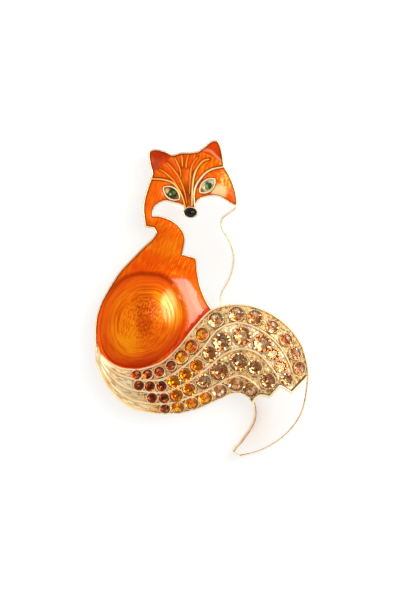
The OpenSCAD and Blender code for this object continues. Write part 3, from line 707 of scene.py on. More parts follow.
ridge_gold = polished_gold("ridge_gold", (1.0, 0.76, 0.43), (0.96, 0.62, 0.29), 0.3, 0.5)
ridge_section = half_round(RIDGE_W, RIDGE_DEPTH)
ridge_section[:ARCH, 1] *= RIDGE_H / (RIDGE_W / 2)
for number, end in enumerate(RIDGE_ENDS, start=1):
    us = np.linspace(RIDGE_START, end, 240)
    share = lane_share(us, number)
    up = tail_up(us, share)
    size = np.clip(smooth(RIDGE_START, 3.1, us) * smooth(end + 0.15, end - 0.48, us), 0.04, 1)
    sections = carried(tail_point(us, share) - up * 0.02 * MM, ridge_section, up, False, size, size)
    lofted(f"tail_ridge_{number}", sections, ridge_gold)

# The rim is painted paler round the outside of the tip, a painted light, and browner inside its hook
tail_rim_gold = polished_gold("tail_rim_gold", (1.0, 0.84, 0.58), (0.98, 0.72, 0.42), 0.28, 0.3, [
    (205, 20, 40, 90, 1, 1, (1.0, 0.92, 0.76)), (156, 28, 8, 30, 1, 0.6, (0.80, 0.44, 0.16))])
root_top = BODY_TOP + RIM_PROUD
edge_level = root_top + (BACK + TAIL_EDGE_T + TAIL_RIM_PROUD - root_top) * smooth(0, 3, tail_us)
edge_level -= ROOT_SINK * (1 - smooth(0.1, 1.1, tail_us))
edge_sections = rim_sections(np.vstack([tail_inner, tail_outer[::-1]]),
                             np.concatenate([edge_level, edge_level[::-1]]))
lofted("tail_rim", edge_sections, tail_rim_gold, closed=True)

# Stone settings
# Each tail stone sits in a thin collar raised from the bed, and small grains of gold are pushed over its
# edge to hold it. Collars and grains are one piece with the casting.
COLLAR = 0.085 * MM
GRAIN = 0.15 * MM
# A seat's radius in girdle radii of its stone
SEAT_SHARE = 1.05
PRONGS = 6
GRAIN_COUNT = 2600
# Between the grains and the stones, and how deep the grains are sunk in the bed
GRAIN_GAP = 0.16 * MM
GRAIN_SINK = 0.08 * MM


def full_turn(count):
    """Angles spread evenly over a full turn."""
    return np.linspace(0, 2 * math.pi, count, endpoint=False)


def turned_to(axis):
    """Two directions square to each axis and the axis itself, as the rows of a turn."""
    side = np.cross(axis, [0.0, 1.0, 0.0])
    side /= np.linalg.norm(side, axis=1)[:, None]
    return np.stack([side, np.cross(axis, side), axis], 1)


turn = turned_to(stone_axis)
a, b = full_turn(32), full_turn(8)
radius = stone_r[:, None, None] * SEAT_SHARE + COLLAR * 0.75 + np.cos(b) * COLLAR
tube_up = np.sin(b) * COLLAR * 1.3 - 0.01 * MM
ring = np.stack([radius * np.cos(a)[:, None], radius * np.sin(a)[:, None],
                 np.broadcast_to(tube_up, (len(seats), len(a), len(b)))], -1)
ring = np.einsum("nijk,nkl->nijl", ring, turn) + stone_centre[:, None, None]
first_of = (np.arange(len(seats)) * len(a) * len(b))[:, None, None]
collar_faces = (grid_faces(len(a), len(b), True, True)[None] + first_of).reshape(-1, 4)
made("stone_collars", ring, collar_faces, "gold",
     polished_gold("collar_gold", (1.0, 0.76, 0.42), (0.88, 0.52, 0.20), 0.28, 0.45))

prong_turn = rough.uniform(0, 2 * math.pi, len(seats))
prong_a = full_turn(PRONGS) + math.pi / PRONGS + prong_turn[:, None]
reach = (stone_r * SEAT_SHARE + COLLAR * 0.9)[:, None]
prong_local = np.stack([reach * np.cos(prong_a), reach * np.sin(prong_a),
                        np.full(prong_a.shape, 0.04 * MM)], -1)
prong_at = (np.einsum("nij,njk->nik", prong_local, turn) + stone_centre[:, None]).reshape(-1, 3)
grain_u = rough.uniform(4.2, 13.6, GRAIN_COUNT)
grain_v = rough.uniform(0.1, 3.9, GRAIN_COUNT)
grain_at = tail_point(grain_u, lane_share(grain_u, grain_v))
to_stone = (np.linalg.norm(grain_at[:, None] - stone_centre[None], axis=2) - stone_r[None]).min(1)
free = ((to_stone > GRAIN_GAP) & (np.abs(grain_v - np.round(grain_v)) > 0.09)
        & (grain_u > np.interp(grain_v, LANE_MIDDLES, FIRST_STONES) - 0.2)
        & (grain_u < np.interp(grain_v, LANE_MIDDLES, LAST_STONES)))
grain_at = grain_at[free] - [0, 0, GRAIN_SINK]
bead_at = np.vstack([prong_at, grain_at])
bead_r = np.concatenate([np.full(len(prong_at), GRAIN), rough.uniform(0.09, 0.17, len(grain_at)) * MM])
# A bead is a ball of rings of points, flat at its two ends
rings, columns = 6, 8
lat, lon = np.linspace(0.12, math.pi - 0.12, rings)[:, None], full_turn(columns)
ball = np.stack([np.sin(lat) * np.cos(lon), np.sin(lat) * np.sin(lon), np.cos(lat) + 0 * lon], -1)
number = np.arange(rings * columns).reshape(rings, columns)
ball_faces = grid_faces(rings, columns, False, True).tolist() + number[[0, -1]].tolist()
made("stone_grains", bead_at[:, None, None] + ball[None] * bead_r[:, None, None, None],
     [[v + number.size * n for v in face] for n in range(len(bead_at)) for face in ball_faces], "gold",
     polished_gold("grain_gold", (1.0, 0.80, 0.47), (0.86, 0.52, 0.20), 0.2, 0.75))

# Cell walls, brows and forehead wires
# Thin walls of the casting part the enamels, and the raised brows and the fan of wires over the forehead are
# cast with them. Polishing the filled face brought their tops out bright.
BROWS = {
    "brow_left": [[55, 277.3], [66.6, 276.6], [74.4, 274.8], [79.6, 271.6], [83.3, 267], [86.2, 261.5],
                  [88.6, 255.5], [90.5, 248]],
    "brow_right": [[130.5, 289.5], [120.1, 287.6], [114.2, 285.4], [109.2, 281.7], [104.8, 276.4],
                   [101.4, 271], [99.6, 265], [99.2, 259], [99.8, 249]],
    "brow_inner": [[114.5, 296.7], [109.4, 295.6], [105.4, 292.2], [101.8, 287], [99.4, 281], [98, 273],
                   [97.2, 262], [97, 250]],
}
FAN_WIRES = [
    [[63.7, 287.1], [68.3, 284.6], [73.7, 280.3], [78.7, 275.3], [82.4, 269.5]],
    [[71.6, 293.9], [75.1, 290.3], [79.4, 285.3], [83.4, 279.5], [86.7, 272.5], [89.7, 263.5], [92, 252]],
    [[79.5, 299], [81.6, 294.5], [84, 289.4], [85.6, 284], [86, 278.6]],
    [[86.6, 301], [87.2, 296], [87.6, 289.2]],
    [[93.7, 301.4], [92, 296.4], [91.3, 292], [91.2, 288]],
    [[103.2, 299.4], [99.4, 294.6], [96.6, 289], [95.6, 282], [95, 272], [94.6, 262]],
]
SEAMS = {
    "seam_cheek_left": [[90.5, 249.5], [86, 251.8], [80, 253.5], [71, 255.4], [65, 253.7], [60, 249.8],
                        [57.6, 244.5], [57.8, 239.7]],
    "seam_muzzle": [[57.8, 239.7], [64.5, 239.6], [71, 237.7], [78, 234.5], [84, 229.7], [88, 224],
                    [89.8, 217.5], [89, 210], [87.2, 201.5]],
    "seam_chest": [[87.2, 201.5], [93, 200], [99.5, 198], [101.2, 195], [102.2, 184], [104.5, 172],
                   [108.5, 160.5], [113, 151.5], [117.5, 145]],
    "seam_cheek_right": [[99.6, 251], [104, 257], [110, 259.5], [117, 260.6], [124, 259.7], [131, 256.2],
                         [136.5, 252.5], [142, 250.5]],
}
BROW_W, BROW_PROUD = 0.4 * MM, 0.16 * MM
SEAM_W, SEAM_PROUD = 0.24 * MM, 0.03 * MM
FAN_WIRE_W, FAN_WIRE_PROUD = 0.33 * MM, 0.09 * MM
WIRE_DEPTH = 0.8 * MM
# A wire ends this far inside the figure's outline
WIRE_END = 0.14 * MM
light_gold = polished_gold("light_gold", (1.0, 0.82, 0.48), (0.98, 0.70, 0.34), 0.26, 0.6)
fan_gold = polished_gold("fan_gold", (1.0, 0.33, 0.012), (0.96, 0.22, 0.004), 0.3, 0.3)
brow_golds = {
    "brow_left": polished_gold("brow_left_gold", (1.0, 0.52, 0.11), (0.98, 0.38, 0.04), 0.28, 0.6),
    "brow_right": light_gold,
    # It takes the orange of the enamel round its upper end
    "brow_inner": polished_gold("brow_inner_gold", (1.0, 0.68, 0.26), (0.96, 0.56, 0.15), 0.28, 0.5,
                                [(108, 297, 6, 20, 1, 0.9, (1.0, 0.40, 0.05))]),
}


def at_level(points, lift):
    """Flat points raised to the top of the walls."""
    return np.column_stack([points, front_level(points) + lift])


def wire(name, points, width, proud, taper, material):
    """A raised wire along a curve, thinner towards its ends by the taper. It stops inside the rim."""
    path = placed(through(points))
    path = path[distance(path, figure_side, closed=False) > WIRE_END]
    size = 1 - taper * np.abs(np.linspace(-1, 1, len(path)))**2.5
    path = at_level(path, proud - width / 2)
    lofted(name, carried(path, half_round(width, WIRE_DEPTH), width=size), material)


for name, points in BROWS.items():
    wire(name, points, BROW_W, BROW_PROUD, 0.3, brow_golds[name])
for name, points in SEAMS.items():
    wire(name, points, SEAM_W, SEAM_PROUD, 0, rim_gold)
for number, points in enumerate(FAN_WIRES, start=1):
    wire(f"fan_wire_{number}", points, FAN_WIRE_W, FAN_WIRE_PROUD, 0.55, fan_gold)

# Enamel of the body, head and chest
# Coloured glass enamel poured into the sunk cells and ground level, a hair below the gold. The orange and red
# are clear over cut metal, which glows through them in strokes, and the white is opaque.
ENAMEL_DROP = 0.07 * MM
CELL_FLOOR = BODY_TOP - 1.0 * MM
PILLOW = 0.16 * MM
PILLOW_RUN = 0.9 * MM
CELL_INSET = 0.1 * MM
# Between the points of a cell's edge, and of its field
EDGE_GAP = 0.16 * MM
FIELD_GAP = 0.42 * MM
EDGE_ROWS = (0.07 * MM, 0.16 * MM, 0.3 * MM, 0.52 * MM)
FAN_REACH = 12 * MM
walls = [(points, BROW_W / 2) for points in BROWS.values()]
walls += [(points, SEAM_W / 2) for points in SEAMS.values()]
walls += [(points, FAN_WIRE_W / 2 - 0.1 * MM) for points in FAN_WIRES]
walls = [(placed(through(points)), half) for points, half in walls] + [(figure_side, RIM_W)]


def almond(middle, slope, length, height, points=24):
    """Two equal arcs that meet in points, as one loop."""
    r = (length**2 + height**2) / (4 * height)
    half = math.asin(length / 2 / r)
    a = np.linspace(-half, half, points, endpoint=False)
    arc = np.column_stack([r * np.sin(a), r * np.cos(a) - r + height / 2])
    loop = np.vstack([arc, -arc])
    c, s = math.cos(slope), math.sin(slope)
    return loop @ np.array([[c, s], [-s, c]]) + middle


EYE_L, EYE_H = 3.5 * MM, 1.9 * MM
EYE_RING = 0.27 * MM
eye_middle = {"left": placed([76.6, 262.9]), "right": placed([112.5, 270.3])}
EYE_SLOPE = {"left": math.radians(-37), "right": math.radians(42)}
eye_loops = {side: almond(eye_middle[side], EYE_SLOPE[side], EYE_L, EYE_H) for side in eye_middle}


def wall_distance(points):
    """How far each point is from the nearest wall's side or eye's rim."""
    found = [distance(points, line, closed=False) - half for line, half in walls]
    found += [distance(points, loop) - EYE_RING for loop in eye_loops.values()]
    return np.maximum(np.min(found, axis=0), 0)


def under_rim(points):
    """Points at the figure's outline are moved in under its rim."""
    start, run = figure_side[:-1], np.diff(figure_side, axis=0)
    long = np.linalg.norm(run, axis=1)
    across = np.column_stack([run[:, 1], -run[:, 0]]) / np.maximum(long, 1e-9)[:, None]
    for _ in range(3):
        away = points[:, None] - start
        share = np.clip((away * run).sum(2) / np.maximum(long**2, 1e-15), 0, 1)
        gaps = np.linalg.norm(away - share[..., None] * run, axis=2)
        near = gaps.argmin(1)
        deep = (away[np.arange(len(points)), near] * across[near]).sum(1)
        move = np.where(gaps.min(1) < 0.3 * MM, np.clip(CELL_INSET - deep, 0, 2 * CELL_INSET), 0)
        points = points + across[near] * move[:, None]
    return points


def poured(name, loops, slot, material, flow, gap=FIELD_GAP, shape=None, lines=(), full=PILLOW):
    """Enamel in one cell: level with the walls, a little fuller away from them. Its points keep their
    distance from the walls and the direction of the cut metal below."""
    loops = [under_rim(evenly(loop, EDGE_GAP)) for loop in loops]
    points, faces = filled(loops, EDGE_ROWS, gap, lines)
    wall = wall_distance(points)
    top = front_level(points) - ENAMEL_DROP + full * (1 - np.exp(-wall / PILLOW_RUN))
    if shape:
        top = top + shape(points)
    piece = made(name, *sealed(points, faces, top, CELL_FLOOR), slot, material)
    keep(piece, "wall", wall / MM)
    keep(piece, "flow", np.column_stack([flow(points), np.zeros(len(points))]) / MM, "FLOAT_VECTOR")
    return piece


def straight(degrees):
    """Strokes in one direction: the length along them and across them."""
    c, s = math.cos(math.radians(degrees)), math.sin(math.radians(degrees))
    return lambda p: np.column_stack([p[:, 0] * c + p[:, 1] * s, -p[:, 0] * s + p[:, 1] * c])


def from_point(point):
    """Strokes that fan out from a point: the length out and the arc across at a set distance."""
    def flow(p):
        away = p - placed(point)
        turned = np.unwrap(np.arctan2(away[:, 1], away[:, 0]))
        return np.column_stack([np.linalg.norm(away, axis=1), turned * FAN_REACH])
    return flow


def loop_of(*curves):
    """A closed loop from curves that follow each other, as the drawing has them."""
    return placed(np.vstack([through(c, 6)[:-1] if len(c) > 2 else np.asarray(c[:-1], float)
                             for c in curves]))


left_ear_base = [[78, 301.6], [70.5, 293.5], [63.5, 287.5], [57, 282.6]]
ear_left = loop_of(CROWN[:8], left_ear_base)
right_ear_base = [[129.5, 290.5], [124, 295], [117.5, 299.5], [110, 303], [103, 305]]
ear_right = loop_of(RIGHT_EAR_SIDE, right_ear_base)
forehead = loop_of(left_ear_base[::-1], CROWN[7:], right_ear_base[::-1], BROWS["brow_right"],
                   [[99.8, 249], [90.5, 248]], BROWS["brow_left"][::-1], [[55, 277.3], [57, 282.6]])
cheek_left = loop_of(BROWS["brow_left"], [[90.5, 248], [90.5, 249.5]], SEAMS["seam_cheek_left"],
                     [[57.8, 239.7], [52, 229.2]], [[52, 229.2], [50.2, 229.4]], CHEEK_SIDE[:6],
                     [[55.4, 277], [55, 277.3]])
cheek_right = loop_of(BROWS["brow_right"], [[99.8, 249], [99.6, 251]], SEAMS["seam_cheek_right"],
                      [[142, 250.5], [142.6, 253]], CHIN_SIDE[4::-1])
white = loop_of(SEAMS["seam_cheek_left"], SEAMS["seam_muzzle"], SEAMS["seam_chest"],
                [[117.5, 145], [122, 147], [127, 148]], CHEST_SIDE[-2::-1], CHIN_SIDE[:4:-1],
                [[141, 247], [142, 250.5]], SEAMS["seam_cheek_right"][::-1],
                [[99.6, 251], [99, 240], [92, 240], [90.5, 249.5]])
back = loop_of(BACK_SIDE, NAPE, JAW_LEFT[:1] + [[52, 229.2]], [[52, 229.2], [57.8, 239.7]],
               SEAMS["seam_muzzle"], SEAMS["seam_chest"],
               [[117.5, 145], [104, 131], [88, 112], [69, 94.4], [50, 86.8], [36, 86.2], [24, 88], [14, 93.4],
                [6.8, 101.8], [3, 111], [1.6, 120]])

FLAME = (0.95, 0.125, 0.003)
DEEP_RED = (0.56, 0.030, 0.002)
AMBER_GLOW = (1.0, 0.30, 0.006)


def clear_enamel(name, strokes, shading, thin=FLAME, thick=DEEP_RED, glow=AMBER_GLOW, finer=1.0, gloss=0.2,
                 bank=0.26):
    """Clear enamel over cut metal. Strokes follow the cut, lighter where the metal shines through, and the
    colour deepens at the walls, where the glass lies thickest, with painted shade beside them out to the
    bank. The glass on top is smooth."""
    e = Finish(name, Metallic=0.25, Coat_Roughness=0.03, Specular_IOR_Level=0.0)
    flow = e.scaled(e.value_of("flow", "Vector"), (0.40, 2.3 * finer, 1.0))
    cut = e.noise(flow, 1.0, 2.0, 0.6)
    hair = e.noise(e.scaled(flow, (2.2, 1.9, 1.0)), 1.0, 1.0)
    cloud = e.noise(e.place(), 210.0)
    edge = 1.0 - e.value_of("wall").step(0.02, bank)
    strokes = strokes(e) if callable(strokes) else strokes
    light = ((cut.step(0.50, 0.64) * 0.55 + hair.step(0.54, 0.68) * 0.45) * strokes).clamped()
    colour = e.mixed(light, thin, glow)
    colour = e.mixed(cut.step(0.47, 0.36) * 0.5 * strokes, colour, thick)
    colour = e.mixed(cloud.step(0.5, 0.72) * 0.3, colour, thick)
    return e.feed(
        Base_Color=e.mixed(edge * 0.85, shading(e, colour), (0.16, 0.018, 0.002)),
        Roughness=0.42 - 0.14 * light,
        Coat_Weight=gloss(e) if callable(gloss) else gloss,
        Normal=e.bump(cut + hair * 0.5, 0.06 * MM, 0.55),
    )


# Enamel of the ears
# The inside of each ear is a small cell of dark red clear enamel, fired thinly over cut metal and ground
# level with its walls.


def flat_points(piece):
    """The piece's points as seen from the front."""
    return np.array([v.co[:2] for v in piece.data.vertices])


def ear_shading(e, colour):
    """Painted shade and light: the left ear is painted darkest at its top and lighter towards the forehead,
    and the right one is painted brighter and darker at its right edge, with a pale painted highlight along
    its fold."""
    colour = tinted(e, colour, [
        (61, 291, 3, 11, 1, 0.35, (0.50, 0.09, 0.04)),
        (55.5, 296, 1, 6, 1, 0.6, (0.72, 0.09, 0.03)),
        (71, 288, 2, 11, 1, 0.7, (0.80, 0.075, 0.005)),
        (66, 305, 3, 12, 1, 0.55, (0.30, 0.012, 0.002)),
        (119, 302, 16, 24, 1, 0.8, (0.66, 0.050, 0.003)),
        (128, 300, 2, 10, 1, 0.6, (0.26, 0.018, 0.003)),
    ])
    return e.mixed(e.value_of("crease_highlight") * 0.75, colour, (1.0, 0.36, 0.16))


EAR_CREASE = placed(through([[109, 306], [115.5, 305], [120.5, 300.5], [127.5, 294]]))
CREASE_W = 0.22 * MM
EAR_GAP = 0.25 * MM
EAR_PILLOW = 0.03 * MM
for node, loop in {"ear_enamel_left": ear_left, "ear_enamel_right": ear_right}.items():
    red = clear_enamel(node, 1.0, ear_shading, (0.50, 0.040, 0.004), (0.26, 0.016, 0.004),
                       (0.70, 0.075, 0.006), 1.6, 0.06)
    ear = poured(node.replace("enamel", "glass"), [loop], "red_enamel", red, from_point([95, 250]),
                 gap=EAR_GAP, full=EAR_PILLOW)
    from_crease = distance(flat_points(ear), EAR_CREASE, closed=False)
    # A pale painted highlight along the right ear's fold
    keep(ear, "crease_highlight", np.exp(-(from_crease / CREASE_W)**2))
    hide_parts(node)

# Enamel of the forehead
# Clear orange enamel in one cell between the brows and the crown. The fan of wires stands in it, and the cut
# of its metal spreads from the top of the nose.


def forehead_shading(e, colour):
    """Painted shade: darker between the brows, deepest in the groove down the middle. Redder at the crown."""
    return tinted(e, colour, [
        (90, 280, 3, 15, 1, 0.5, (0.60, 0.12, 0.003)),
        (93, 264, 3, 17, 1.6, 0.8, (0.24, 0.026, 0.003)),
        (87, 297, 8, 22, 1, 0.6, (0.62, 0.045, 0.003)),
        (72, 283, 6, 18, 1, 0.6, (0.64, 0.055, 0.003)),
        (90, 302, 6, 24, 1, 0.35, (0.82, 0.11, 0.006)),
    ])


NOSE_TOP = [95.5, 246]
# Rows of points follow the wires on both sides
BESIDE_WIRE = 0.22 * MM
fan_lines = [(placed(through(p)), [-BESIDE_WIRE, BESIDE_WIRE]) for p in FAN_WIRES]
brow_orange = clear_enamel("forehead_enamel", 1.3, forehead_shading, gloss=0.05, bank=0.36)
brow_field = poured("forehead_glass", [forehead], "orange_enamel", brow_orange, from_point(NOSE_TOP),
                    lines=fan_lines)
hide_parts("forehead_enamel")

# Enamel of the cheeks
# Clear orange enamel in a cell round each eye. It lies thicker than on the forehead, so less of the cut
# metal shows through it.
CHEEK_FALL = 0.2 * MM
CHEEK_FALL_RUN = 1.9 * MM


def below_eye(side):
    """The enamel falls away a little from the raised eye."""
    def shape(points):
        return -CHEEK_FALL * (1 - np.exp(-(distance(points, eye_loops[side]) / CHEEK_FALL_RUN)**2))
    return shape


def cheek_shading(e, colour):
    """Drops of bare gold show through at the right cheek's upper edge, painted bright as highlights. A pale
    painted reflection lies beside the right eye, and the right cheek is darker at its outer edge.
    """
    gold_drop_glints = e.noise(e.place(), 2300.0, 1.0, 0.6).step(0.47, 0.58) * spot(e, 131, 276, 5, 12)
    return tinted(e, e.mixed(gold_drop_glints * 0.85, colour, (1.0, 0.50, 0.02)), [
        # A pale painted reflection beside the right eye, and darker at the right cheek's outer edge
        (124.5, 264, 5, 10, 1, 0.95, (1.0, 0.62, 0.27)),
        (137, 255, 1, 13, 1, 0.4, (0.72, 0.075, 0.004)),
    ])


for side, loop, degrees in (("left", cheek_left, 70), ("right", cheek_right, -50)):
    node = f"cheek_enamel_{side}"
    cheek = poured(f"cheek_glass_{side}", [loop, eye_loops[side]], "orange_enamel",
                   clear_enamel(node, 0.55, cheek_shading), straight(degrees),
                   shape=below_eye(side))
    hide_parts(node)

# Enamel of the neck and back
# Clear orange enamel in one large cell from the jaw to the tail. Its metal is cut along the back in long
# strokes, and is left smooth on the flank beside the chest.
HAUNCH = [[47, 182.5], [31, 178.5], [19.5, 169], [9.5, 154], [4.8, 135], [4.4, 118], [7.5, 104.5],
          [15, 94.2], [25, 89], [36, 87.2], [47, 87.6], [58, 90.6], [67.5, 95.4], [77, 103.4], [84.5, 113],
          [89.8, 125], [91.7, 138], [88.8, 153], [79.5, 171.5], [65, 181.3]]
# The flank between haunch and chest slopes down to the chest from the haunch, at a few degrees
FLANK_EDGE = placed([[93, 178], [112, 150]])
FLANK_TILT = math.radians(4)
UNDER_HAUNCH = 0.8 * MM


def ring_through(points):
    """A smooth closed curve through the points."""
    return through(np.vstack([points[-2:], points, points[:2]]))[2 * CURVE_STEPS:-2 * CURVE_STEPS]


haunch_loop = placed(ring_through(HAUNCH))
haunch_centre = (haunch_loop.max(0) + haunch_loop.min(0)) / 2


def body_form(points):
    """The flank's slope. Under the haunch the enamel is sunk out of sight."""
    run = FLANK_EDGE[1] - FLANK_EDGE[0]
    out = np.array([run[1], -run[0]]) / np.linalg.norm(run)
    height = np.maximum((points - FLANK_EDGE[0]) @ out, 0) * math.tan(FLANK_TILT)
    height *= 1 - smooth(placed([0, 178])[1], placed([0, 190])[1], points[:, 1])
    height *= smooth(placed([50, 0])[0], placed([78, 0])[0], points[:, 0])
    height *= smooth(0.1 * MM, 0.5 * MM, distance(points, tail_outer, closed=False))
    under = inside(points, [haunch_loop]) * smooth(0.45 * MM, MM, distance(points, haunch_loop))
    return height - UNDER_HAUNCH * under


def neck_shading(e, colour):
    """Redder above the haunch and brighter at the left edge, with a painted shadow under the jaw and a
    painted yellow highlight at the shoulder. Painted shade lies along the haunch's foot and a painted
    shadow along the tail's edge, and the flank is a lighter orange.
    """
    # Redder above the haunch, a painted shadow under the jaw and a painted yellow highlight at the shoulder
    colour = tinted(e, colour, [
        (58, 187, 4, 34, 1, 0.6, (0.78, 0.060, 0.002)),
        (72, 230, 2, 16, 1, 0.45, (0.74, 0.075, 0.003)),
        (74, 208, 2, 18, 1, 0.3, (0.95, 0.30, 0.006)),
    ])
    haunch_foot_shade = e.value_of("haunch_foot_shade") * spot(e, 46, 184, 26, 46)
    colour = tinted(e, e.mixed(haunch_foot_shade * 0.8, colour, (0.34, 0.024, 0.002)), [
        (0, 136, 10, 30, 1, 0.8, (0.98, 0.115, 0.008)),
        (94, 158, 12, 26, 1, 0.85, (0.80, 0.155, 0.003)),
    ])
    tail_edge_shadow = (1.0 - e.value_of("tail_edge_shadow")) * spot(e, 100, 130, 24, 40)
    return e.mixed(tail_edge_shadow * 0.95, colour, (0.56, 0.034, 0.002))


def beside(e, start, end, soft):
    """1 on the left of a line in the drawing and 0 on its right, over a soft edge so many squares wide."""
    a, b = placed([start, end])
    ahead = (b - a) / np.linalg.norm(b - a)
    off = e.node("VectorMath", {"operation": "DOT_PRODUCT"}, e.place(), (-ahead[1], ahead[0], 0.0),
                 out="Value")
    line = float(ahead[0] * a[1] - ahead[1] * a[0])
    return off.step(line - soft * square[0] / 2, line + soft * square[0] / 2)


def neck_gloss(e):
    """The flank is polished to a mirror, and the rest more softly."""
    flank = beside(e, [110, 177.5], [70, 177.5], 3) * beside(e, [111, 151], [91.5, 178], 2.5)
    return 0.03 + 0.49 * flank * e.value_of("mirror")


def neck_strokes(e):
    """The cut is deepest at the shoulder and ends at the flank, which is smooth metal."""
    return (0.5 + 0.9 * spot(e, 73, 208, 14, 42) - 1.4 * spot(e, 100, 152, 22, 32)).clamped()


neck = poured("back_glass", [back], "orange_enamel",
              clear_enamel("back_enamel", neck_strokes, neck_shading, thin=(0.84, 0.088, 0.002),
                           glow=(1.0, 0.40, 0.010), finer=2.1, gloss=neck_gloss),
              straight(62), shape=body_form)
from_haunch = distance(flat_points(neck), haunch_loop)
from_tail = distance(flat_points(neck), tail_outer, closed=False)
# Painted shade along the haunch's foot, and a painted shadow along the tail's edge
keep(neck, "haunch_foot_shade", 1 - smooth(0.2 * MM, 0.75 * MM, from_haunch))
keep(neck, "tail_edge_shadow", smooth(0.95 * MM, 1.35 * MM, from_tail))
keep(neck, "mirror", smooth(0.85 * MM, 1.05 * MM, from_tail) * smooth(0.2 * MM, 0.55 * MM, from_haunch))
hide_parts("body_enamel")

# Enamel of the muzzle and chest
# Opaque white enamel in one cell, from the cheeks over the muzzle and down the chest. It slopes smoothly
# under the chin and is polished.
WHITE_GAP = 0.6 * MM


def white_enamel(name, cream, clouded, patch, edge_share, edge_colour, waves):
    """Opaque cream white, faintly warm at the walls where the gold shows in it."""
    e = Finish(name, Coat_Weight=0.6, Coat_Roughness=0.03, Roughness=0.4, Specular_IOR_Level=0.0)
    edge = 1.0 - e.value_of("wall").step(0.0, 0.3)
    cream = e.mixed(e.noise(e.place(), 90.0).step(0.3, 0.7), cream, clouded)
    return e.feed(
        Base_Color=e.mixed(edge * edge_share, tinted(e, cream, [patch]), edge_colour),
        Normal=e.bump(e.noise(e.place(), 500.0, 1.0), 0.03 * MM, waves),
    )


# A warm painted shade under the chin
chest_white = white_enamel("white_enamel", (0.94, 0.93, 0.91), (0.93, 0.91, 0.88),
                           (76, 245, 2, 22, 1, 0.65, (0.90, 0.79, 0.71)), 0.35, (0.80, 0.62, 0.46), 0.25)
chest = poured("muzzle_chest_glass", [white], "white_enamel", chest_white, straight(90), gap=WHITE_GAP)
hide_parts("muzzle_chest_enamel")

# Haunch
# The haunch is a raised dome of the casting under the same clear enamel. Its metal is cut in oval rings, so
# the light runs round it in fine strokes.
HAUNCH_RISE = 2.3 * MM
HAUNCH_FOOT = 0.2 * MM
HAUNCH_RINGS = 73
HAUNCH_LEAN = math.radians(56)


def domed(name, loop, centre, shares, heights, foot, tip, slot, material):
    """A closed solid of rings that shrink with the loop to the given shares, each at its height. The first
    goes straight down to the foot, and the last runs in to the tip."""
    shares, heights = np.append(1, shares), np.append(foot, heights)
    rings = np.empty((len(shares), len(loop), 3))
    rings[..., :2] = centre + (loop - centre) * shares[:, None, None]
    rings[..., 2] = heights[:, None]
    columns, last = len(loop), rings.size // 3
    faces = grid_faces(len(shares), columns, False, True).tolist()
    faces += [[last - columns + k, last - columns + (k + 1) % columns, last] for k in range(columns)]
    faces.append(list(range(columns)))
    return made(name, np.vstack([rings.reshape(-1, 3), [[*centre, tip]]]), faces, slot, material)


def haunch_enamel(name):
    """Clear orange over rings of cut metal: the strokes follow the rings, darker red towards the foot with
    painted shade along it, and brown painted shade where the dome turns from the light. A painted yellow
    highlight, a gleam with a paler core, lies on its upper right."""
    e = Finish(name, Metallic=0.25, Coat_Weight=0.05, Coat_Roughness=0.12, Specular_IOR_Level=0.0)
    flow = e.value_of("flow", "Vector")
    cut = e.noise(flow, 1.15, 3.0, 0.6)
    hair = e.noise(e.scaled(flow, (1.0, 1.0, 2.6)), 1.6)
    ring = e.value_of("ring")
    slant = e.node("Mapping", {"vector_type": "TEXTURE"}, Vector=e.place(), Rotation=(0, 0, math.radians(58)),
                   Scale=(0.62 * MM, 0.26 * MM, 1.0))
    dots = e.noise(slant, 1.0, 1.0)
    cut = dots + (cut - dots) * ring.step(0.32, 0.60)
    light = (cut.step(0.42, 0.60) * 0.6 + hair.step(0.45, 0.66) * 0.4).clamped()
    colour = e.mixed(light, (0.88, 0.11, 0.002), (1.0, 0.33, 0.006))
    colour = tinted(e, colour, [(36, 114, 4, 20, 1, 0.4, (1.0, 0.36, 0.006))])
    colour = e.mixed(ring.step(0.58, 0.88) * 0.75, colour, (0.80, 0.085, 0.003))
    # Darker red low on the right, a painted yellow gleam with its paler core, and brown painted shade
    colour = tinted(e, colour, [
        (72, 108, 16, 40, 1, 0.8 - 0.4 * light, (0.72, 0.075, 0.003)),
        (77.5, 148, 9, 26, 1.8, 0.3 + 0.6 * light, (0.98, 0.50, 0.02)),
        (73.5, 150, 8, 20, 2.0, 0.35 + 0.6 * light, (0.96, 0.74, 0.26)),
        (51, 147, 10, 30, 1.9, 0.95 - 0.6 * light, (0.46, 0.036, 0.002)),
        (49, 129, 3, 16, 1.3, 0.9 - 0.6 * light, (0.50, 0.040, 0.002)),
    ])
    # Painted shade along the dome's foot, deepest towards the tail and faint at its left
    edge = ring.step(0.9, 0.99) * (0.75 - 0.6 * spot(e, 2, 134, 10, 30))
    foot = (edge + ring.step(0.62, 0.92) * spot(e, 50, 84, 20, 58) * (0.95 - 0.4 * light)).clamped()
    colour = e.mixed(foot, colour, (0.50, 0.03, 0.002))
    colour = e.mixed((cut.step(0.46, 0.38) * 0.3 + hair.step(0.44, 0.36) * 0.25).clamped(), colour,
                     (0.42, 0.030, 0.002))
    return e.feed(
        Base_Color=colour,
        Roughness=0.36 - 0.12 * light,
        Normal=e.bump(cut + hair * 0.6, 0.07 * MM, 0.7),
    )


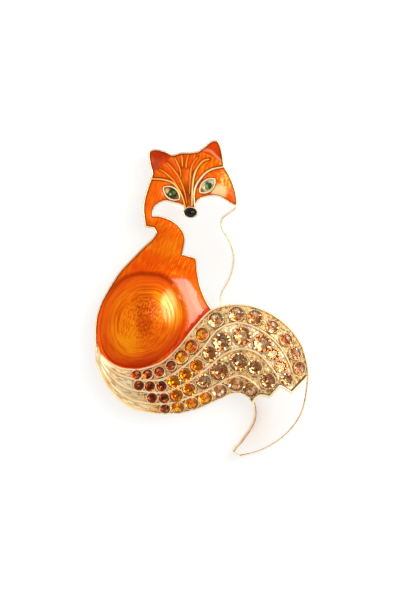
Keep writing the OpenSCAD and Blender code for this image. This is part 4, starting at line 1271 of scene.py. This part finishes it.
haunch_rings = np.linspace(1, 0, HAUNCH_RINGS, endpoint=False)
haunch_foot = BODY_TOP - ENAMEL_DROP - HAUNCH_FOOT
swell = (HAUNCH_RISE + HAUNCH_FOOT) * np.clip(1 - haunch_rings**2.2, 0, 1)**0.66
haunch = domed("haunch_glass", haunch_loop, haunch_centre, haunch_rings, haunch_foot + swell,
               CELL_FLOOR + 0.1 * MM, BODY_TOP - ENAMEL_DROP + HAUNCH_RISE, "orange_enamel",
               haunch_enamel("haunch_enamel"))
columns = len(haunch_loop)
ring_share = np.append(np.repeat(np.append(1, haunch_rings), columns), 0)
circle = np.append(np.tile(full_turn(columns), len(haunch_rings) + 1), 0)
c, s = math.cos(HAUNCH_LEAN), math.sin(HAUNCH_LEAN)
leaning = (flat_points(haunch) - haunch_centre) @ np.array([[c, -s], [s, c]])
oval_reach = np.ptp(haunch_loop, 0).mean() / 2 * np.array([1.16, 0.9])
oval = np.linalg.norm(leaning / oval_reach, axis=1)
keep(haunch, "wall", (1 - ring_share) * 8.3)
keep(haunch, "ring", ring_share)
keep(haunch, "flow", np.column_stack([np.cos(circle) * 1.5, np.sin(circle) * 1.5,
                                      (0.35 * ring_share + 0.65 * oval) * 27]), "FLOAT_VECTOR")

# Tail tip
# The end of the tail is a shallow cell between its two rims, filled with white enamel. It follows the tail's
# dome, and meets the gold in a zigzag like the tip of a brush.
TIP_EDGE = [[150, 49], [152, 54], [161, 58.5], [165.5, 61.6], [175, 59.8], [184.3, 71], [196.2, 64],
            [211, 80]]
TIP_END = 18.93
TIP_LIFT = 0.12 * MM
TIP_PILLOW = 0.14 * MM
TIP_PILLOW_RUN = 0.5 * MM
# The length of one station along the tip
STATION_RUN = 4.2 * MM
look_u, look_s = np.meshgrid(np.linspace(10.5, 16, 441), np.linspace(0, 1, 201), indexing="ij")
look_at = placed(tail_squares(look_u.ravel(), look_s.ravel()))


def station_of(points):
    """The stations and shares across of places in the drawing, from the nearest of a fine table."""
    nearest = np.array([((look_at - p)**2).sum(1).argmin() for p in placed(points)])
    return look_u.ravel()[nearest], look_s.ravel()[nearest]


edge_u, edge_s = station_of(TIP_EDGE)
order = np.argsort(edge_s)
tip_q = np.linspace(0, 1, 61)
start_u = np.interp(tip_q, edge_s[order], edge_u[order])
tip_u = start_u + (TIP_END - start_u) * np.linspace(0, 1, 90)[:, None]
across = placed(tail_squares(tip_u.ravel(), 1)) - placed(tail_squares(tip_u.ravel(), 0))
tail_wide = np.linalg.norm(across, axis=1).reshape(tip_u.shape)
inset = np.minimum(0.8 * RIM_W / tail_wide, 0.42)
tip_s = inset + (1 - 2 * inset) * tip_q
tip_top = tail_point(tip_u, tip_s)
from_rim = np.minimum(tip_s, 1 - tip_s) * tail_wide - 0.6 * RIM_W
tip_wall = np.minimum(from_rim, (tip_u - start_u) * STATION_RUN).clip(0)
tip_top[..., 2] += TIP_LIFT + TIP_PILLOW * (1 - np.exp(-tip_wall / TIP_PILLOW_RUN))
tip_top = tip_top.reshape(-1, 3)
# White with a breath of peach on its inner side
tip_white = white_enamel("tip_enamel", (0.94, 0.91, 0.87), (0.94, 0.91, 0.87),
                         (152, 34, 4, 38, 1, 0.8, (0.94, 0.82, 0.74)), 0.15, (0.88, 0.70, 0.52), 0.0)
tip_solid = sealed(tip_top[:, :2], grid_faces(*tip_u.shape), tip_top[:, 2], BACK + 1.2 * MM)
tip_piece = made("tail_tip_glass", *tip_solid, "white_enamel", tip_white)
keep(tip_piece, "wall", tip_wall.ravel() / MM)
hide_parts("tail_tip_enamel")

ZIGZAG_W = 0.6 * MM
ZIGZAG_PROUD = 0.22 * MM
zig_s = np.linspace(edge_s.min(), edge_s.max(), 160)
zig_u = np.interp(zig_s, edge_s[order], edge_u[order])
zig_up = tail_up(zig_u, zig_s)
zig_path = tail_point(zig_u, zig_s) + zig_up * ZIGZAG_PROUD
zig_section = half_round(ZIGZAG_W, ZIGZAG_W)
zigzag_gold = polished_gold("zigzag_gold", (1.0, 0.88, 0.60), (1.0, 0.80, 0.48), 0.26, 0.4)
zigzag = lofted("tail_zigzag", carried(zig_path, zig_section, zig_up), zigzag_gold)
# Painted shade where the wire meets the bed
keep(zigzag, "dark", smooth(0.30, 0.55, zig_section[:, 0] / (ZIGZAG_W / 2)))

# Eyes
# Each eye is a gold almond with a raised edge, hollowed and washed with clear glaze, and a small round green
# stone is set in it.
EYE_DEPTH = 0.64 * MM
EYE_PROUD = 0.1 * MM


def glazed_gold(name, tint, shade, patches):
    """A wash of clear glaze over gold, in patches, with painted reflections and painted shade in spots."""
    gold = Finish(name, Metallic=0.5, Coat_Weight=0.3, Coat_Roughness=0.04)
    patch = gold.noise(gold.place(), 900.0)
    return gold.feed(
        Base_Color=tinted(gold, gold.mixed(patch.step(0.42, 0.6), tint, shade), patches),
        Roughness=0.3 + 0.2 * patch,
        Normal=gold.bump(patch, 0.06 * MM, 0.7),
    )


# Painted shade and light: the left dish is painted dark, the right one pale, each with painted reflections
dish_gold = {
    "left": glazed_gold("dish_left_shaded_gold", (0.24, 0.14, 0.03), (0.08, 0.06, 0.01), [
        (72.3, 265.4, 1.52, 3.8, 1, 1, (0.90, 0.46, 0.18)),
        (70.2, 268.6, 0.88, 2.2, 1, 1, (0.40, 0.22, 0.02)),
        (84, 259, 1.36, 3.4, 1, 1, (0.50, 0.16, 0.03))]),
    "right": glazed_gold("dish_right_lit_gold", (0.92, 0.84, 0.58), (0.66, 0.60, 0.36), [
        (108.7, 269, 1.36, 3.4, 1, 1, (1.0, 0.62, 0.32)),
        (107, 265, 1.6, 4, 1, 1, (0.26, 0.15, 0.02)),
        (112, 273.5, 0.96, 2.4, 1, 1, (0.34, 0.28, 0.12))]),
}
dish_rings = np.linspace(1, 0, 16)[:-1]
dish_top = HEAD_TOP - 0.02 * MM
for side, centre in eye_middle.items():
    edge = almond(centre, EYE_SLOPE[side], EYE_L + 0.1 * MM, EYE_H + 0.1 * MM)
    domed(f"eye_dish_{side}", edge, centre, dish_rings, dish_top - EYE_DEPTH * (1 - dish_rings**3),
          HEAD_TOP - 0.9 * MM, dish_top - EYE_DEPTH, "gold", dish_gold[side])
    ring_path = almond(centre, EYE_SLOPE[side], EYE_L + EYE_RING, EYE_H + EYE_RING, 30)
    lofted(f"eye_rim_{side}", carried(at_level(ring_path, EYE_PROUD - EYE_RING / 2),
                                      half_round(EYE_RING, WIRE_DEPTH), closed=True), light_gold, True)

# Stones
# Foil-backed glass, machine cut: an octagonal table, star, kite and girdle facets above, and a pointed
# pavilion whose foil throws the light back through the colour of the glass.
GIRDLE = 0.02
TABLE_R = 0.56
STAR_R = 0.78
STAR_H = 0.095
PAVILION_R = 0.46
PAVILION_H = 0.24


def brilliant():
    """Points and faces of a cut stone of diameter 1 about its girdle, crown faces first."""
    eighth = np.arange(8) * math.pi / 4
    half = eighth + math.pi / 8
    sixteenth = np.arange(16) * math.pi / 8

    def circle_of(angles, radius, height):
        return np.column_stack([np.cos(angles) * radius / 2, np.sin(angles) * radius / 2,
                                np.full(len(angles), height)])
    points = np.vstack([
        circle_of(eighth, TABLE_R, CROWN_H), circle_of(half, STAR_R, STAR_H), circle_of(sixteenth, 1, GIRDLE),
        circle_of(sixteenth, 1, -GIRDLE), circle_of(half, PAVILION_R, -PAVILION_H), [[0, 0, -PAVILION]]])
    table, star, upper, lower, pav, culet = 0, 8, 16, 32, 48, 56
    crown = [list(range(8))]
    under = []
    for k in range(8):
        n = (k + 1) % 8
        g, h, m = 2 * k, 2 * k + 1, (2 * k + 2) % 16
        crown += [[table + k, star + k, table + n], [table + n, star + k, upper + m, star + n],
                  [star + k, upper + g, upper + h], [star + k, upper + h, upper + m]]
        under += [[pav + k, lower + g, lower + h], [pav + k, lower + h, lower + m],
                  [culet, pav + k, lower + m, pav + n]]
    for k in range(16):
        n = (k + 1) % 16
        crown.append([upper + k, lower + k, lower + n, upper + n])
    return points, crown, under


stone_points, crown_faces, foil_faces = brilliant()


def cut_glass(name, colour, deeper, scale, clear, tints_and_glints):
    """Clear glass of one colour in two depths, in light and dark patches, with tinted spots and painted
    highlights laid over it where given.
    """
    glass = Finish(name, Roughness=0.0, IOR=1.56, Transmission_Weight=clear, Specular_Tint=(1.0, 0.72, 0.42))
    tint = glass.noise(glass.place(), scale, 1.0)
    return glass.feed(Base_Color=tinted(glass, glass.mixed(tint.step(0.42, 0.58), colour, deeper), tints_and_glints))


def foil(name, colour, dark, scale):
    """Mirror foil under lacquer: bright, with a few dull facets."""
    back = Finish(name, Metallic=1.0, Roughness=0.06)
    patch = back.node("TexVoronoi", {"feature": "F1"}, Vector=back.place(), Scale=scale, out="Distance")
    return back.feed(Base_Color=back.mixed(patch.step(0.34, 0.54), colour, dark))


# Colour and deeper colour of the glass, bright and dull foil, and how fine the foil's facets are
STONE_GLASS = {
    "garnet": ((1.0, 0.38, 0.09), (0.88, 0.24, 0.04), (1.0, 0.66, 0.20), (0.30, 0.05, 0.012), 1300.0),
    "amber": ((1.0, 0.76, 0.09), (1.0, 0.66, 0.05), (1.0, 0.88, 0.18), (0.90, 0.32, 0.03), 1600.0),
    "champagne": ((1.0, 0.95, 0.80), (1.0, 0.89, 0.69), (1.0, 0.97, 0.81), (0.72, 0.35, 0.16), 1350.0),
    "green_stone": ((0.05, 0.13, 0.03), (0.025, 0.06, 0.01), (0.80, 1.0, 0.80), (0.30, 0.50, 0.30), 2600.0),
}
# Painted highlights and painted shade on the eyes' cloudier glass
EYE_GLINTS_AND_SHADE = [
    (81, 259.5, 1.08, 3.6, 1, 1, (0.06, 0.022, 0.003)), (79.4, 263.6, 0.72, 2.4, 1, 1, (0.16, 0.30, 0.13)),
    (75.3, 261.8, 0.57, 1.9, 1, 1, (0.60, 0.85, 0.40)), (114.5, 270.8, 1.32, 4.4, 1, 1, (0.035, 0.07, 0.018)),
    (111.3, 270, 0.78, 2.6, 1, 1, (0.32, 0.60, 0.32)), (112.6, 267.6, 0.6, 2.0, 1, 1, (0.20, 0.42, 0.20)),
]
# The stones at the bend are a little pinker
ROSE = [(206, 112, 19.8, 66, 1, 1, (1.0, 0.76, 0.60))]
stone_finish = {}
for kind, (glass, deeper, bright, dark, scale) in STONE_GLASS.items():
    look = (2000.0, 0.35, EYE_GLINTS_AND_SHADE) if kind == "green_stone" else (260.0, 1.0, ROSE)
    stone_finish[kind] = (cut_glass(f"{kind}_glass", glass, deeper, *look),
                          foil(f"{kind}_foil", bright, dark, scale))
# Diameters in girdle radii of the solids: the tail's stones stand out a little wider than theirs
TAIL_GEM = 2.2
EYE_GEM = 1.95
stone_spin = np.random.default_rng(11)


def set_stone(node, diameter):
    """A cut stone in its solid's place, turned at random about its axis and set a little askew. Its
    diameter is given in the girdle radii of the solid."""
    culet, axis, r = stone_seat(node)
    lean = axis + stone_spin.normal(0, 0.03, 3)
    lean /= np.linalg.norm(lean)
    rows = turned_to(lean[None])[0]
    spin = stone_spin.uniform(0, math.pi / 4)
    c, s = math.cos(spin), math.sin(spin)
    local = stone_points * diameter * r @ np.array([[c, s, 0], [-s, c, 0], [0, 0, 1]])
    points = local @ rows + culet + axis * PAVILION * 2 * r
    slot = slot_of[node]
    stone = made(node.replace("stone", "gem"), points, crown_faces + foil_faces, slot, *stone_finish[slot])
    stone.data.shade_flat()
    index = np.zeros(len(stone.data.polygons), np.int32)
    index[len(crown_faces):] = 1
    stone.data.polygons.foreach_set("material_index", index)
    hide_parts(node)


for node in tail_stones:
    set_stone(node, TAIL_GEM)
for node in ("eye_stone_left", "eye_stone_right"):
    set_stone(node, EYE_GEM)

# Nose
# A black oval cabochon of glass, domed and polished. It is glued into a shallow seat, inside a gold ring that
# is cast with the face.
nose_lo, nose_hi = (np.array(corner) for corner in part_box("nose_stone"))
nose_middle = (nose_lo + nose_hi)[:2] / 2
nose_half = (nose_hi - nose_lo)[:2] / 2
NOSE_RING = 0.26 * MM
NOSE_RISE = 0.55 * MM
NOSE_RING_PROUD = 0.14 * MM
jet = Finish("jet", Coat_Weight=0.45, Coat_Roughness=0.02, Roughness=0.5, Specular_IOR_Level=0.0,
             Coat_Tint=(1.0, 0.72, 0.48))
jet.feed(Base_Color=jet.mixed(jet.noise(jet.place(), 700.0).step(0.4, 0.7), (0.006, 0.003, 0.002),
                              (0.02, 0.009, 0.004)))
around = full_turn(64)
oval = np.column_stack([np.cos(around), np.sin(around)])
fall = np.linspace(0, math.pi / 2, 18)[:-1]
nose = domed("nose_cabochon", nose_middle + oval * nose_half, nose_middle, np.cos(fall),
             HEAD_TOP + NOSE_RISE * np.sin(fall), HEAD_TOP - 0.6 * MM, HEAD_TOP + NOSE_RISE, "black_stone",
             jet.material)
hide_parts("nose_stone")
ring_path = nose_middle + oval * (nose_half + NOSE_RING / 2 + 0.03 * MM)
lofted("nose_rim", carried(at_level(ring_path, NOSE_RING_PROUD - NOSE_RING / 2),
                           half_round(NOSE_RING, WIRE_DEPTH), closed=True), rim_gold, True)

# Floor, light and camera
# The brooch lies on bright white paper, below a large soft light and a small window that the polished
# enamel mirrors.
FLOOR = 2
floor_mesh = bpy.data.meshes.new("floor")
floor_mesh.from_pydata([(-FLOOR, -FLOOR, 0), (FLOOR, -FLOOR, 0), (FLOOR, FLOOR, 0), (-FLOOR, FLOOR, 0)],
                       [], [(0, 1, 2, 3)])
floor = bpy.data.objects.new("floor", floor_mesh)
bpy.context.scene.collection.objects.link(floor)
paper = Finish("floor", Base_Color=(0.4, 0.4, 0.4), Roughness=1.0, Specular_IOR_Level=0.0,
               Emission_Color=(1, 1, 1), Emission_Strength=0.66)
floor_mesh.materials.append(paper.material)

# The room is bright at its walls and dim overhead, so that flat enamel keeps its depth
world = bpy.data.worlds.new("studio")
bpy.context.scene.world = world
world.use_nodes = True
sky = world.node_tree.nodes
direction = sky.new("ShaderNodeTexCoord")
height = sky.new("ShaderNodeSeparateXYZ")
brightness = sky.new("ShaderNodeMapRange")
brightness.interpolation_type = "SMOOTHSTEP"
for socket, value in (("From Min", 0.64), ("From Max", 0.95), ("To Min", 0.95), ("To Max", 0.25)):
    brightness.inputs[socket].default_value = value
world.node_tree.links.new(direction.outputs["Generated"], height.inputs[0])
world.node_tree.links.new(height.outputs["Z"], brightness.inputs["Value"])
world.node_tree.links.new(brightness.outputs[0], sky["Background"].inputs["Color"])


def soft_box(name, direction, distance_m, width, height, radiance):
    """A square of even light that faces the brooch. Its power follows from how bright its face is."""
    light = bpy.data.lights.new(name, "AREA")
    light.shape = "RECTANGLE"
    light.size, light.size_y = width, height
    light.energy = radiance * width * height * math.pi
    lamp = bpy.data.objects.new(name, light)
    lamp.location = Vector(direction).normalized() * distance_m
    lamp.rotation_euler = Vector(direction).to_track_quat("Z", "Y").to_euler()
    bpy.context.scene.collection.objects.link(lamp)


soft_box("key", (0.42, 0.24, 1.0), 0.5, 0.24, 0.30, 4.5)
soft_box("window", (0.139, 0.094, 1.0), 0.7, 0.06, 0.10, 12.0)

# The camera looks straight down from high up, and has the brooch where the photo has it
PIXELS = np.array([401, 601])
PIXELS_PER_M = 1 / square[0]
HIGH = 0.9
photo_middle = np.array([201.1, 298.0])
aim = (PIXELS / 2 - photo_middle) / PIXELS_PER_M * [1, -1]
camera = bpy.data.cameras.new("camera")
camera.sensor_fit = "VERTICAL"
camera.sensor_height = 36
camera.lens = camera.sensor_height * HIGH / (PIXELS[1] / PIXELS_PER_M)
camera.clip_end = 10
eye = bpy.data.objects.new("camera", camera)
eye.location = (*aim, HEAD_TOP + HIGH)
bpy.context.scene.collection.objects.link(eye)
bpy.context.scene.camera = eye
bpy.context.scene.view_settings.view_transform = "Standard"
